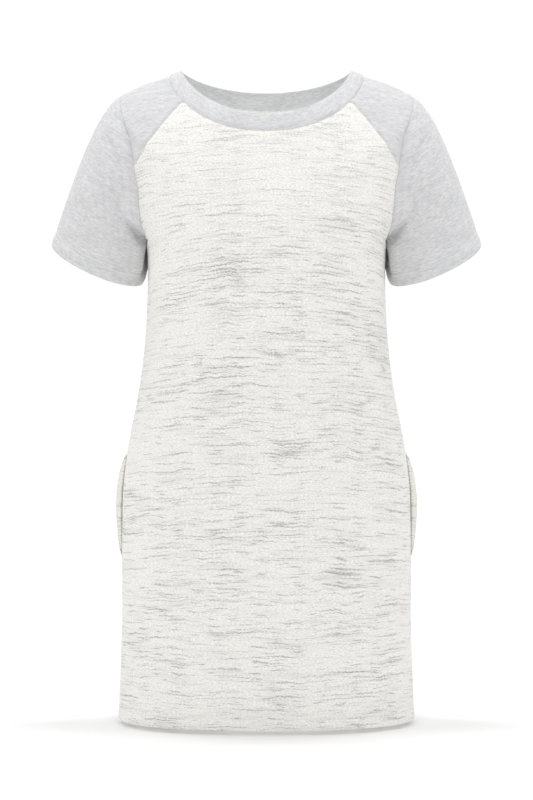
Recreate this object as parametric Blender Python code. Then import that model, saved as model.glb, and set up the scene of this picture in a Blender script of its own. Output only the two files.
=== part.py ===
"""T-shirt dress, filled out as if worn and hollow inside.

A table of rings, from the neck seam down to the hem, gives the body surface. Seams are
curves on that surface, and each cut piece is a grid of points between its seams, turned
into a thin wall. The sleeves run from the armhole seam to a tilted cuff ring.
Lengths are in millimetres, +Z up, the front faces -Y, the origin lies between the
shoulders at the height of the neckband's top.
"""
import bpy
import numpy as np

MM = 0.001

# Cloth and seams
CLOTH = 1.5
BAND_CLOTH = 2.4
BAG_CLOTH = 1.0
SEAM_GAP = 0.3

# Body surface: a ring is given by its side point, its front and back middle points and how
# square it is; "dip" shapes the way its height falls from the side to the middle.
RING_COLUMNS = ("run", "z_side", "half_width", "y_side", "y_front", "y_back",
                "z_front", "z_back", "square", "dip_front", "dip_back")
RINGS = (
    ("neck_seam", 0, -8, 131, 8, -91, 88, -90, -38, 2.25, 1.14, 1.49),
    ("yoke", 30, -15, 161, 6, -101, 95, -119, -67, 2.15, 1.14, 1.31),
    ("shoulder_tip", 70, -33, 197, 4, -111, 101, -157, -106, 2.05, 1.09, 1.14),
    ("cap", 105, -66, 195.5, 3, -117, 104, -181, -138, 2.05, 1.31, 1.4),
    ("chest", 140, -100, 193, 2, -121, 105, -203, -167, 2.1, 1.49, 1.58),
    ("upper_bust", 190, -150, 186, 1, -124, 105, -230, -205, 2.2, 1.75, 1.75),
    ("bust", 242, -201, 173, 0, -124, 103.5, -253, -238, 2.35, 1.75, 1.75),
    ("underarm", 292, -250, 158.5, 0, -121, 101, -276, -268, 2.45, 1.75, 1.75),
    ("rib", 341, -299, 158.4, 0, -117, 98, -311, -307, 2.4, 1.75, 1.75),
    ("waist", 405, -363, 161.8, 0, -112.5, 94, -366, -365, 2.3, 1.75, 1.75),
    ("low_waist", 472, -430, 170.5, 0, -110, 93.5, -430, -430, 2.25, 1.75, 1.75),
    ("hip", 540, -497, 183.5, 0, -109, 97, -497, -497, 2.25, 1.75, 1.75),
    ("pocket", 593, -550, 190.5, 0, -109, 101, -550, -550, 2.25, 1.75, 1.75),
    ("seat", 663, -620, 192.3, 0, -110, 104, -620, -620, 2.25, 1.75, 1.75),
    ("thigh", 798, -755, 192.7, 0, -111, 105, -755, -755, 2.2, 1.75, 1.75),
    ("low_skirt", 863, -820, 195.2, 0, -112, 105, -820, -820, 2.2, 1.75, 1.75),
    ("hem", 905, -862, 196.8, 0, -112, 105, -862, -862, 2.2, 1.75, 1.75),
)
# How far the shoulder line is rounded off, as a part of the way from side to middle
RIDGE_ROUND = 0.1

# Armhole: from the shoulder tip to the underarm, as far forward and back of the side line
TIP_RUN = 70
UNDERARM_RUN = 292
ARMHOLE_FRONT = 66
ARMHOLE_BACK = 61
ARMHOLE_LOW = 0.04
ARMHOLE_ARCH = 1.5
YOKE_TURN = 89

# Neck corners of the yokes, as parts of the quarter ring counted from the middle
FRONT_CORNER = 0.66
BACK_CORNER = 0.70
YOKE_BOW = 3.0
SLANT_EASE = 4

# Neckband: top edge given like a ring
BAND_TOP = (0, 0, 113, 6, -82, 75, -66, -15.5, 2.05, 1.18, 1.58)

# Sleeve: cuff ring of the right sleeve
CUFF_CENTRE = (224.5, -2, -254.5)
CUFF_ACROSS = (-62.5, 0, -22.5)
CUFF_FORWARD = (-5, -52, -21)
CUFF_BACKWARD = (2, 50, 6)
CUFF_SQUARE = 2.2
CUFF_AIM = (0.32, 0, -0.95)
LEAVE_PULL = 0.55
CUFF_PULL = 0.90

# Folds: where they start and end, half width and depth in millimetres; minus depth stands out
FOLD_COLUMNS = ("name", "across_a", "down_a", "across_b", "down_b", "half_width", "depth")
# on the sleeves, across is the turn round the arm in degrees, down the part of the length
SLEEVE_FOLDS = (
    ("cap_crease", 112, 0.30, 62, 0.42, 13, 4.0),
    ("cap_roll", 92, 0.10, 50, 0.30, 12, -2.5),
    ("back_crease", 250, 0.25, 300, 0.45, 15, 3.5),
    ("back_roll", 270, 0.12, 305, 0.25, 12, -2.0),
)
# on the body, across is the part of the quarter ring (over 1 on the back), down the run
BODY_FOLDS = (
    ("front_drag", 0.80, 318, 0.42, 384, 15, 1.8),
    ("side_drag", 0.93, 327, 0.70, 424, 13, 1.6),
    ("waist_break", 0.88, 392, 0.45, 424, 16, 1.6),
    ("back_drag", 1.20, 322, 1.55, 398, 16, 2.2),
    ("back_waist", 1.15, 424, 1.70, 469, 20, 2.6),
    ("back_waist_low", 1.30, 474, 1.85, 499, 18, 2.0),
)
# Rough lengths that turn the folds' chart into millimetres
QUARTER_MM = 250
DEGREE_MM = 1.2
SLEEVE_MM = 180

# Pockets: runs at the ends of the opening, how far its front edge stands forward of the side
# line, how far its back edge stands out, and the bag
MOUTH_TOP = 558
MOUTH_END = 683
MOUTH_OPEN = 11
MOUTH_FRONT_OUT = 2.5
MOUTH_BACK_OUT = 9.5
BAG_REACH = 132
BAG_NARROW = 92
BAG_LAP = 9
BAG_CLEAR = 1.5
BAG_GAP = 1.2
BAG_SLACK = 14
MOUTH_GAP = 3

# Grid counts
PANEL_COLUMNS = 24
SLANT_ROWS = 9
ARMHOLE_ROWS = 8
SKIRT_ROWS = 26
YOKE_COLUMNS = 14
SLEEVE_ROWS = 9
BAND_ROWS = 3
BAG_TOP_ROW = 10
BAG_END_ROW = 20
BAG_COLUMNS = 8

SLUB = ("slub_knit", (0.86, 0.85, 0.81), 0.9)
MARL = ("marl_knit", (0.50, 0.51, 0.54), 0.9)
SECTION_SAMPLES = 121


def curve_through(x, knots, values):
    """Smooth cubic through the table, its slopes averaged from both sides."""
    slopes = np.gradient(values, knots)
    i = np.clip(np.searchsorted(knots, x) - 1, 0, len(knots) - 2)
    step = knots[i + 1] - knots[i]
    t = (x - knots[i]) / step
    rise = values[i + 1] - values[i]
    bend_a = slopes[i] * step - rise
    bend_b = rise - slopes[i + 1] * step
    return values[i] + t * rise + t * (1 - t) * ((1 - t) * bend_a + t * bend_b)


def ring_values(run):
    """Column values of the ring table at each run."""
    table = np.array([row[1:] for row in RINGS], float)
    return {name: curve_through(run, table[:, 0], table[:, k])
            for k, name in enumerate(RING_COLUMNS) if k}


def ring_points(ring, part):
    """Points at a part of the quarter ring: 0 front middle, 1 side, 2 back middle."""
    turn = np.linspace(0, np.pi / 2, SECTION_SAMPLES)[None, :]
    back = (part > 1)[:, None]
    column = {name: value[:, None] for name, value in ring.items()}
    power = 2 / column["square"]
    middle_y = np.where(back, column["y_back"], column["y_front"])
    middle_z = np.where(back, column["z_back"], column["z_front"])
    x = column["half_width"] * np.sin(turn) ** power
    y = column["y_side"] + (middle_y - column["y_side"]) * np.cos(turn) ** power
    dip = np.where(back, column["dip_back"], column["dip_front"])
    fall = (np.hypot(np.cos(turn), RIDGE_ROUND) - RIDGE_ROUND) / (
        np.hypot(1, RIDGE_ROUND) - RIDGE_ROUND)
    z = column["z_side"] + (middle_z - column["z_side"]) * np.clip(fall, 0, 1) ** dip
    points = np.stack([x, y, z], axis=-1)
    steps = np.linalg.norm(np.diff(points, axis=1), axis=-1)
    along = np.concatenate([np.zeros((len(part), 1)), np.cumsum(steps, axis=1)], axis=1)
    reach = np.where(part > 1, 2 - part, part) * along[:, -1]
    found = [[np.interp(reach[k], along[k], points[k, :, axis]) for axis in range(3)]
             for k in range(len(part))]
    return np.array(found), along[:, -1]


def soft_step(x):
    """0 below 0, 1 above 1, smooth between."""
    t = np.clip(x, 0, 1)
    return t * t * (3 - 2 * t)


def mouth_shape(run):
    """1 in the middle of the pocket opening, 0 at its ends and beyond."""
    q = np.clip((run - MOUTH_TOP) / (MOUTH_END - MOUTH_TOP), 0, 1)
    return np.sin(np.pi * q ** 0.85) ** 0.8


def folds_depth(across, down, table, across_mm, down_mm):
    """Summed depth of soft folds along segments of the chart, each fading towards its ends."""
    scale = np.array([across_mm, down_mm])
    here = np.stack([across, down], axis=-1) * scale
    depth = 0
    for row in table:
        fold = dict(zip(FOLD_COLUMNS, row))
        start = scale * [fold["across_a"], fold["down_a"]]
        line = scale * [fold["across_b"], fold["down_b"]] - start
        along = np.clip((here - start) @ line / (line @ line), 0, 1)
        clear = np.linalg.norm(here - start - along[..., None] * line, axis=-1)
        fade = np.sin(np.pi * along) ** 0.7
        depth = depth + fold["depth"] * fade * np.exp(-1.6 * (clear / fold["half_width"]) ** 2)
    return depth


def body_raw(part, run):
    """Body points without folds for arrays of parts and runs, right half."""
    shape = np.shape(part)
    points, quarter = ring_points(ring_values(np.ravel(run)), np.ravel(part))
    return points.reshape(shape + (3,)), quarter.reshape(shape)


def body_normal(part, run):
    """Outward normals by differences along both directions of the chart."""
    across = np.where(part > 1, -1, 1) * 0.004
    inner = np.clip(part - np.abs(across), 0, 2)
    outer = np.clip(part + np.abs(across), 0, 2)
    inner = np.where(part > 1, np.maximum(inner, 1.0001), inner)
    outer = np.where(part > 1, outer, np.minimum(outer, 1.0))
    along = body_raw(outer, run)[0] - body_raw(inner, run)[0]
    low = np.clip(run + 2, 0, RINGS[-1][1])
    high = np.clip(run - 2, 0, RINGS[-1][1])
    down = body_raw(part, low)[0] - body_raw(part, high)[0]
    normal = np.cross(down, along)
    normal /= np.linalg.norm(normal, axis=-1, keepdims=True)
    outward = np.sign(np.sum(normal * body_raw(part, run)[0] * [1, 1, 0], axis=-1))
    return normal * np.where(outward < 0, -1, 1)[..., None]


def beside_mouth(part, run):
    """1 on the side line at the middle of the pocket opening, falling off all round."""
    from_side = np.abs(np.abs(part) - 1) * quarter_length(run)
    return np.exp(-(from_side / 30) ** 2) * mouth_shape(run)


def body(part, run, raised=0.0):
    """Body points and normals; negative parts are mirrored to the left half."""
    side = np.abs(part)
    points = body_raw(side, run)[0]
    normal = body_normal(side, run)
    out = raised - folds_depth(side, run, BODY_FOLDS, QUARTER_MM, 1)
    points = points + normal * out[..., None]
    mirror = np.where(part < 0, -1, 1)[..., None] * [1, 0, 0] + [0, 1, 1]
    return points * mirror, normal * mirror


def quarter_length(run):
    """Length of the front quarter ring at each run."""
    run = np.asarray(run, float)
    return body_raw(np.zeros_like(run), run)[1]


def armhole(turn):
    """Part and run of the armhole seam; turn 0 underarm, 90 front, 180 tip, 270 back."""
    angle = np.radians(turn)
    low = ((1 + np.cos(angle)) / 2) ** ARMHOLE_ARCH
    run = TIP_RUN + (UNDERARM_RUN - TIP_RUN) * low
    reach = np.where(np.sin(angle) > 0, ARMHOLE_FRONT, ARMHOLE_BACK)
    width = reach * (1 + ARMHOLE_LOW * np.cos(angle)) / quarter_length(run)
    return 1 - width * np.sign(np.sin(angle)) * np.abs(np.sin(angle)) ** 0.85, run


def slant(corner, turn):
    """Parts and runs along a yoke's slanting seam, neck seam first, evenly spaced."""
    end_part, end_run = armhole(np.array([turn]))
    start = body_raw(np.array([corner]), np.zeros(1))[0][0, [0, 2]]
    end = body_raw(end_part, end_run)[0][0, [0, 2]]
    line = end - start
    length = np.linalg.norm(line)
    square = np.array([-line[1], line[0]]) / length
    tries = np.linspace(0.4, 1, 121) if corner < 1 else np.linspace(1.6, 1, 121)
    runs = np.linspace(0, end_run[0], 31)
    parts = []
    for run in runs:
        here = body_raw(tries, np.full(tries.size, run))[0][:, [0, 2]] - start
        share = here @ line / length ** 2
        off = here @ square - 4 * YOKE_BOW * share * (1 - share)
        parts.append(np.interp(0, off, tries))
    ease = np.pad(parts, SLANT_EASE, mode="reflect", reflect_type="odd")
    kernel = np.hanning(2 * SLANT_EASE + 3)[1:-1]
    parts = np.convolve(ease, kernel / kernel.sum(), mode="valid")
    path = body_raw(parts, runs)[0]
    along = np.concatenate([[0], np.cumsum(np.linalg.norm(np.diff(path, axis=0), axis=1))])
    even = np.linspace(0, along[-1], SLANT_ROWS + 1)
    return np.interp(even, along, parts), np.interp(even, along, runs)


def panel_edges(corner, turn):
    """Part and run of a panel's right edge from the neck seam down to the hem."""
    slant_part, slant_run = slant(corner, turn)
    turns = np.linspace(turn, 0 if turn < 180 else 360, ARMHOLE_ROWS + 1)[1:]
    arm_part, arm_run = armhole(turns)
    part = np.concatenate([slant_part, arm_part, np.ones(SKIRT_ROWS)])
    return part, np.concatenate([slant_run, arm_run, skirt_runs()[1:]])


def skirt_runs():
    """Runs of the panel rows from the underarm to the hem."""
    return np.linspace(UNDERARM_RUN, RINGS[-1][1], SKIRT_ROWS + 1)


def draw_in(points, gap):
    """Boundary points of a grid moved into it by half a seam gap."""
    moved = points.copy()
    for edge, inner in ((0, 1), (-1, -2)):
        moved[edge] += shift_from(points[edge], points[inner], gap)
        moved[:, edge] += shift_from(points[:, edge], points[:, inner], gap)
    return moved


def shift_from(edge, inner, gap):
    """Small step from an edge towards the next row, square to the edge."""
    along = np.gradient(edge, axis=0)
    along /= np.linalg.norm(along, axis=-1, keepdims=True)
    step = inner - edge
    step -= np.sum(step * along, axis=-1, keepdims=True) * along
    return step / np.linalg.norm(step, axis=-1, keepdims=True) * gap / 2


def wall_faces(rows, columns, closed):
    """Quads of a wall: outer grid, inner grid and the rims between them."""
    count = rows * columns
    wide = columns if closed else columns - 1
    r, c = np.meshgrid(np.arange(rows - 1), np.arange(wide), indexing="ij")
    a = (r * columns + c).ravel()
    b = (r * columns + (c + 1) % columns).ravel()
    outer = np.stack([a, b, b + columns, a + columns], axis=1)
    inner = outer[:, ::-1] + count
    ring = np.arange(wide)
    after = (ring + 1) % columns
    last = (rows - 1) * columns
    top = np.stack([ring, ring + count, after + count, after], axis=1)
    low = np.stack([last + after, last + after + count, last + ring + count, last + ring], axis=1)
    faces = [outer, inner, top, low]
    if not closed:
        up = np.arange(rows - 1) * columns
        down = up + columns
        edge = columns - 1
        faces.append(np.stack([up, down, down + count, up + count], axis=1))
        faces.append(np.stack([up + edge, up + edge + count, down + edge + count, down + edge],
                              axis=1))
    return np.concatenate(faces)


def add_wall(name, cloth, outer, normals, thickness, closed=False):
    """One closed wall object from outer points and the normals they are moved in along."""
    rows, columns = outer.shape[:2]
    across = outer[:-1, 1:] - outer[:-1, :-1]
    down = outer[1:, :-1] - outer[:-1, :-1]
    facing = np.sum(np.cross(across, down) * normals[:-1, :-1])
    inner = outer - normals * thickness
    vertices = np.concatenate([outer.reshape(-1, 3), inner.reshape(-1, 3)]) * MM
    faces = wall_faces(rows, columns, closed)
    if facing < 0:
        faces = faces[:, ::-1]
    mesh = bpy.data.meshes.new(name)
    mesh.from_pydata(vertices.tolist(), [], faces.tolist())
    mesh.polygons.foreach_set("use_smooth", [True] * len(mesh.polygons))
    mesh.materials.append(cloth_material(name, cloth))
    mesh.validate()
    part = bpy.data.objects.new(name, mesh)
    bpy.context.scene.collection.objects.link(part)
    return part


def cloth_material(name, cloth):
    """Plain material of a piece."""
    material = bpy.data.materials.new(f"{cloth[0]}_{name}")
    material.use_nodes = True
    shader = material.node_tree.nodes["Principled BSDF"]
    shader.inputs["Base Color"].default_value = (*cloth[1], 1)
    shader.inputs["Roughness"].default_value = cloth[2]
    shader.inputs["Metallic"].default_value = 0
    return material


def panel_spread():
    """Column places of a panel from -1 to 1, closer together near its sides."""
    return np.sin(np.linspace(-1, 1, PANEL_COLUMNS + 1) * 1.35) / np.sin(1.35)


def front_panel():
    """Front panel from side to side, neck seam to hem, drawn back at the pocket openings."""
    edge, run = panel_edges(FRONT_CORNER, YOKE_TURN)
    edge = edge - MOUTH_OPEN * mouth_shape(run) / quarter_length(run)
    part = edge[:, None] * panel_spread()[None, :]
    run = np.repeat(run[:, None], PANEL_COLUMNS + 1, axis=1)
    bulge = MOUTH_FRONT_OUT * beside_mouth(part, run)
    points, normals = body(part, run, bulge)
    return add_wall("front_panel", SLUB, draw_in(points, SEAM_GAP), normals, CLOTH)


def back_panel():
    """Back panel from side to side, standing out at the pocket openings."""
    edge, run = panel_edges(2 - BACK_CORNER, 360 - YOKE_TURN)
    spread = panel_spread()
    part = np.where(spread < 0, 1, -1) * (2 - (2 - edge[:, None]) * np.abs(spread))
    run = np.repeat(run[:, None], PANEL_COLUMNS + 1, axis=1)
    bulge = MOUTH_BACK_OUT * beside_mouth(part, run)
    points, normals = body(part, run, bulge)
    return add_wall("back_panel", SLUB, draw_in(points, SEAM_GAP), normals, CLOTH)


def yoke(name, side):
    """Shoulder yoke between the neck seam, two slanting seams and the armhole."""
    c = np.linspace(0, 1, YOKE_COLUMNS + 1)[None, :]
    r = np.linspace(0, 1, SLANT_ROWS + 1)[:, None]
    low = armhole(YOKE_TURN + (360 - 2 * YOKE_TURN) * c[0])
    top = FRONT_CORNER + (2 - BACK_CORNER - FRONT_CORNER) * c[0], np.zeros(YOKE_COLUMNS + 1)
    front = slant(FRONT_CORNER, YOKE_TURN)
    back = slant(2 - BACK_CORNER, 360 - YOKE_TURN)
    part, run = (
        (1 - r) * top[k] + r * low[k] + (1 - c) * front[k][:, None] + c * back[k][:, None]
        - (1 - r) * ((1 - c) * top[k][0] + c * top[k][-1])
        - r * ((1 - c) * low[k][0] + c * low[k][-1])
        for k in range(2))
    points, normals = body(part * side, run)
    return add_wall(name, MARL, draw_in(points, SEAM_GAP), normals, CLOTH)


def band_top(part):
    """Top edge of the neckband at parts of its quarter ring."""
    ring = {name: np.full(part.size, float(value))
            for name, value in zip(RING_COLUMNS, BAND_TOP)}
    return ring_points(ring, np.abs(part))[0] * np.stack(
        [np.where(part < 0, -1, 1), np.ones(part.size), np.ones(part.size)], axis=-1)


def neckband():
    """Doubled band standing up from the neck seam."""
    spread = panel_spread()
    over = np.linspace(FRONT_CORNER, 2 - BACK_CORNER, YOKE_COLUMNS + 1)[1:]
    behind = 2 - BACK_CORNER * spread[::-1][:PANEL_COLUMNS // 2 + 1][1:]
    half = np.concatenate([spread[PANEL_COLUMNS // 2:] * FRONT_CORNER, over, behind])
    part = np.concatenate([half, -half[1:-1][::-1]])
    seam, seam_normal = body(part, np.zeros(part.size))
    top = band_top(part)
    lift = np.linspace(1, 0, BAND_ROWS + 1)[:, None, None]
    outer = seam + (top - seam) * lift
    along = np.roll(top, -1, axis=0) - np.roll(top, 1, axis=0)
    normal = np.cross(seam - top, along)
    normal /= np.linalg.norm(normal, axis=-1, keepdims=True)
    outward = np.sum(normal * top * [1, 1, 0], axis=-1)
    normal *= np.where(outward < 0, -1, 1)[:, None]
    outer = outer + normal * (np.sin(np.pi * lift) * 1.2)
    blend = seam_normal + (normal - seam_normal) * soft_step(lift * 2)
    blend /= np.linalg.norm(blend, axis=-1, keepdims=True)
    outer[-1] += shift_from(outer[-1], outer[-2], SEAM_GAP)
    return add_wall("neckband", MARL, outer, blend, BAND_CLOTH, closed=True)


def sleeve(name, side):
    """Sleeve from the armhole seam to the cuff ring, with the folds of its cap."""
    front = np.linspace(0, YOKE_TURN, ARMHOLE_ROWS + 1)
    over = np.linspace(YOKE_TURN, 360 - YOKE_TURN, YOKE_COLUMNS + 1)[1:]
    behind = np.linspace(360 - YOKE_TURN, 360, ARMHOLE_ROWS + 1)[1:-1]
    turn = np.concatenate([front, over, behind])
    part, run = armhole(turn)
    start = body(part, run)[0]
    angle = np.radians(turn)
    power = 2 / CUFF_SQUARE
    across = np.sign(np.cos(angle)) * np.abs(np.cos(angle)) ** power
    forward = np.clip(np.sin(angle), 0, 1) ** power
    backward = np.clip(-np.sin(angle), 0, 1) ** power
    end = (np.array(CUFF_CENTRE) + across[:, None] * CUFF_ACROSS
           + forward[:, None] * CUFF_FORWARD + backward[:, None] * CUFF_BACKWARD)
    far = np.linalg.norm(end - start, axis=-1, keepdims=True)
    leave = np.stack([np.full(turn.size, 0.95), -0.30 * np.sin(angle),
                      -0.17 + 0.38 * np.cos(angle)], axis=-1)
    leave /= np.linalg.norm(leave, axis=-1, keepdims=True)
    leave = leave * far * LEAVE_PULL
    arrive = np.array(CUFF_AIM) * far * CUFF_PULL
    s = np.linspace(0, 1, SLEEVE_ROWS + 1)[:, None, None] ** 1.15
    outer = ((1 + 2 * s) * (1 - s) ** 2 * start + s * (1 - s) ** 2 * leave
             + s * s * (3 - 2 * s) * end + s * s * (s - 1) * arrive)
    normal = grid_normals(outer)
    rows = np.repeat(s[:, :, 0], turn.size, axis=1)
    turns = np.repeat(turn[None, :], SLEEVE_ROWS + 1, axis=0)
    dent = folds_depth(turns, rows, SLEEVE_FOLDS, DEGREE_MM, SLEEVE_MM)
    outer = outer - normal * dent[..., None]
    outer[0] += shift_from(outer[0], outer[1], SEAM_GAP)
    normal = grid_normals(outer)
    mirror = [side, 1, 1]
    return add_wall(name, MARL, outer * mirror, normal * mirror, CLOTH, closed=True)


def grid_normals(points):
    """Outward normals of a closed sleeve grid by differences."""
    round_it = np.roll(points, -1, axis=1) - np.roll(points, 1, axis=1)
    down = np.gradient(points, axis=0)
    normal = np.cross(round_it, down)
    normal /= np.linalg.norm(normal, axis=-1, keepdims=True)
    centre = points.mean(axis=1, keepdims=True)
    flip = np.sum(normal * (points - centre)) < 0
    return -normal if flip else normal


def bag_chart():
    """Runs of a bag's rows, how far its mouth edge and its far edge lie from the side line."""
    run = skirt_runs()[BAG_TOP_ROW:BAG_END_ROW + 1, None]
    q = (run - run[0]) / (run[-1] - run[0])
    round_end = (1 - np.abs(2 * q - 1) ** 2.6) ** 0.5
    return q, run, MOUTH_OPEN * mouth_shape(run), BAG_NARROW + (BAG_REACH - BAG_NARROW) * round_end


def pocket_front_bag(name, side):
    """Layer sewn behind the front edge of the opening."""
    q, run, mouth, reach = bag_chart()
    start = mouth + 4
    forward = start + (reach - start) * np.linspace(0, 1, BAG_COLUMNS + 1)[None, :]
    run = np.repeat(run, BAG_COLUMNS + 1, axis=1)
    part = 1 - forward / quarter_length(run)
    raised = MOUTH_FRONT_OUT * beside_mouth(part, run) - CLOTH - BAG_CLEAR
    points, normals = body(part * side, run, raised)
    return add_wall(name, SLUB, points, normals, BAG_CLOTH)


def pocket_back_bag(name, side):
    """Layer from behind the back edge, across the opening's gap, into the pocket."""
    q, run, mouth, reach = bag_chart()
    width = np.maximum(mouth, 2.5)
    lap = -BAG_LAP + (BAG_LAP + width) * np.array([0, 0.45, 0.72, 0.86])[None, :]
    start = mouth + 4
    share = np.linspace(0, 1, BAG_COLUMNS + 1)[None, :]
    forward = np.concatenate([lap, start + (reach - start) * share], axis=1)
    run = np.repeat(run, forward.shape[1], axis=1)
    part = 1 - forward / quarter_length(run)
    near = beside_mouth(part, run)
    under_back = MOUTH_BACK_OUT * near - CLOTH - BAG_CLEAR
    hollow = np.sin(np.pi * q) ** 0.8 * np.concatenate(
        [np.zeros((1, 4)), np.sin(np.pi * share ** 0.7)], axis=1)
    inside = (MOUTH_FRONT_OUT * near - CLOTH - BAG_CLEAR - BAG_CLOTH - BAG_GAP
              - MOUTH_GAP * mouth_shape(run) * np.clip(1 - forward / reach, 0, 1)
              - BAG_SLACK * hollow)
    raised = under_back + (inside - under_back) * soft_step(forward / width)
    points, normals = body(part * side, run, raised)
    return add_wall(name, SLUB, points, normals, BAG_CLOTH)


def clear_scene():
    """Remove what the file starts with."""
    for old in list(bpy.data.objects):
        bpy.data.objects.remove(old)


def main():
    """Build every cut piece."""
    clear_scene()
    front_panel()
    back_panel()
    for label, side in (("left", -1), ("right", 1)):
        yoke(f"shoulder_yoke_{label}", side)
        sleeve(f"sleeve_{label}", side)
        pocket_front_bag(f"pocket_front_bag_{label}", side)
        pocket_back_bag(f"pocket_back_bag_{label}", side)
    neckband()


main()
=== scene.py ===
"""T-shirt dress in slub knit and marl knit, filled out as worn and hollow inside.

Every cut piece is a thin wall. The body pieces lie on one surface given by a table of rings,
from the neck seam down to the hem, and the sleeves on a surface carried from the armhole seam
to a tilted cuff ring. Seams are curves on those surfaces. Tables are in millimetres, +Z up,
the front faces -Y, and the origin lies between the shoulders at the neckband's top.
"""
from functools import lru_cache

import bpy
import numpy as np
from bpy.props import FloatProperty, FloatVectorProperty, PointerProperty
from mathutils import Matrix


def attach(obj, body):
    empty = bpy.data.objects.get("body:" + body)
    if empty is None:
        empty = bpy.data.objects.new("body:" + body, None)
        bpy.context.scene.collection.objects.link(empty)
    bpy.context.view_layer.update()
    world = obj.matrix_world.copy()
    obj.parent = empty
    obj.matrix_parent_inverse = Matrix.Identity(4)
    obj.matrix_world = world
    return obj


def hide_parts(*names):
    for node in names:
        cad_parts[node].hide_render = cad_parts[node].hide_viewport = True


bl_info = {
    "name": "T-shirt dress",
    "version": (1, 0, 0),
    "blender": (4, 5, 0),
    "location": "View3D > Sidebar > Dress",
    "description": "Knit t-shirt dress with contrast shoulders, sleeves and neckband",
    "category": "Object",
}

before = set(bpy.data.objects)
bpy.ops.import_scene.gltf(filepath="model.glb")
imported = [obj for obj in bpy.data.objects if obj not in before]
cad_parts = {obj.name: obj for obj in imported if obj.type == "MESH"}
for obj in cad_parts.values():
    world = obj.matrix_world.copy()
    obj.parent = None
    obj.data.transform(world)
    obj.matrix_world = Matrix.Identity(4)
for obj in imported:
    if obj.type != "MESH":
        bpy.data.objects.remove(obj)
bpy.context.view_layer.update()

MM = 0.001
SIDES = (("left", -1), ("right", 1))

# Body surface: a ring is given by its side point, its front and back middle points and how
# square it is; "dip" shapes the way its height falls from the side to the middle.
RING_COLUMNS = ("run", "z_side", "half_width", "y_side", "y_front", "y_back",
                "z_front", "z_back", "square", "dip_front", "dip_back")
RINGS = (
    ("neck_seam", 0, -5, 131, 8, -91, 88, -90, -38, 2.25, 1.14, 1.49),
    ("yoke", 30, -15, 161, 6, -101, 95, -119, -67, 2.15, 1.14, 1.31),
    ("shoulder", 55, -26.9, 186.6, 4.7, -107.7, 99.1, -143.6, -91.6, 2.08, 1.09, 1.16),
    ("shoulder_tip", 70, -33, 197, 4, -111, 101, -157, -106, 2.05, 1.09, 1.14),
    ("cap", 105, -66, 195.5, 3, -117, 104, -181, -138, 2.05, 1.31, 1.4),
    ("chest", 140, -100, 193, 2, -121, 105, -203, -167, 2.1, 1.49, 1.58),
    ("upper_bust", 190, -150, 186, 1, -124, 105, -230, -205, 2.2, 1.75, 1.75),
    ("bust", 242, -201, 173, 0, -124, 103.5, -253, -238, 2.35, 1.75, 1.75),
    ("armpit", 278, -236.3, 159.3, 0, -121.8, 101.7, -269.6, -259.6, 2.42, 1.75, 1.75),
    ("underarm", 292, -250, 158.3, 0, -121, 101, -276, -268, 2.45, 1.75, 1.75),
    ("rib", 341, -299, 158.4, 0, -117, 98, -311, -307, 2.4, 1.75, 1.75),
    ("waist", 405, -363, 161.8, 0, -112.5, 94, -366, -365, 2.3, 1.75, 1.75),
    ("low_waist", 472, -430, 170.5, 0, -110, 93.5, -430, -430, 2.25, 1.75, 1.75),
    ("hip", 540, -497, 183.5, 0, -109, 97, -497, -497, 2.25, 1.75, 1.75),
    ("pocket", 593, -550, 190.5, 0, -109, 101, -550, -550, 2.25, 1.75, 1.75),
    ("seat", 663, -620, 192.3, 0, -110, 104, -620, -620, 2.25, 1.75, 1.75),
    ("thigh", 798, -755, 192.7, 0, -111, 105, -755, -755, 2.2, 1.75, 1.75),
    ("low_skirt", 863, -820, 195.2, 0, -112, 105, -820, -820, 2.2, 1.75, 1.75),
    ("hem", 905, -862, 196.8, 0, -112, 105, -862, -862, 2.2, 1.75, 1.75),
)
RIDGE_ROUND = 0.1
SECTION_SAMPLES = 181
# Steps along the ring and down the run from which a normal is worked out
PART_STEP = 0.004
RUN_STEP = 2

# Armhole: from the shoulder tip to the underarm, as far forward and back of the side line
TIP_RUN = 70
UNDERARM_RUN = 292
HEM_RUN = 905
ARMHOLE_FRONT = 66
ARMHOLE_BACK = 61
ARMHOLE_LOW = 0.04
ARMHOLE_ARCH = 1.5
ARMHOLE_ROUND = 0.85
YOKE_TURN = 89

# Neck corners of the yokes, as parts of the quarter ring counted from the middle, and their
# slanting seams: bow, smoothing, and how finely each is searched for
FRONT_CORNER = 0.622
BACK_CORNER = 0.70
YOKE_BOW = 3.0
SLANT_EASE = 4
SLANT_TRIES = 121
SLANT_ROWS = 31

# Neckband: top edge given like a ring, outward bow, and rough height and columns of its grid
BAND_TOP = (0, 3.2, 113, 6, -82, 75, -66, -15.5, 2.05, 1.18, 1.58)
BAND_BOW = 1.2
BAND_HEIGHT = 25
BAND_QUARTER = 46

# Sleeve: cuff ring of the right sleeve, and how its columns leave the armhole, at the underarm
# and in the armpit's crease too, and arrive at the cuff
CUFF_CENTRE = (226.5, -2, -256.5)
CUFF_ACROSS = (-60.5, 0, -25.5)
CUFF_FORWARD = (-5, -52, -21)
CUFF_BACKWARD = (2, 50, 6)
CUFF_SQUARE = 2.2
CUFF_SQUARE_INNER = 1.75
CUFF_AIM = (0.32, 0, -0.95)
UNDERARM_AIM = (0.28, 0, 0.05)
LEAVE_SIDE = (0.95, 0, -0.17)
LEAVE_FRONT = (0, -0.30, 0)
LEAVE_UNDER = (0, 0, 0.38)
UNDERARM_LEAVE = (0.12, 0, -0.99)
SUNK_LEAVE = (1.0, 0.1, -0.5)
LEAVE_PULL = 0.55
CUFF_PULL = 0.90
SLEEVE_COLUMNS = 145

# Folds: where they start and end, half width and depth in millimetres; minus depth stands out
FOLD_COLUMNS = ("name", "across_a", "down_a", "across_b", "down_b", "half_width", "depth", "lean")
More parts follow.
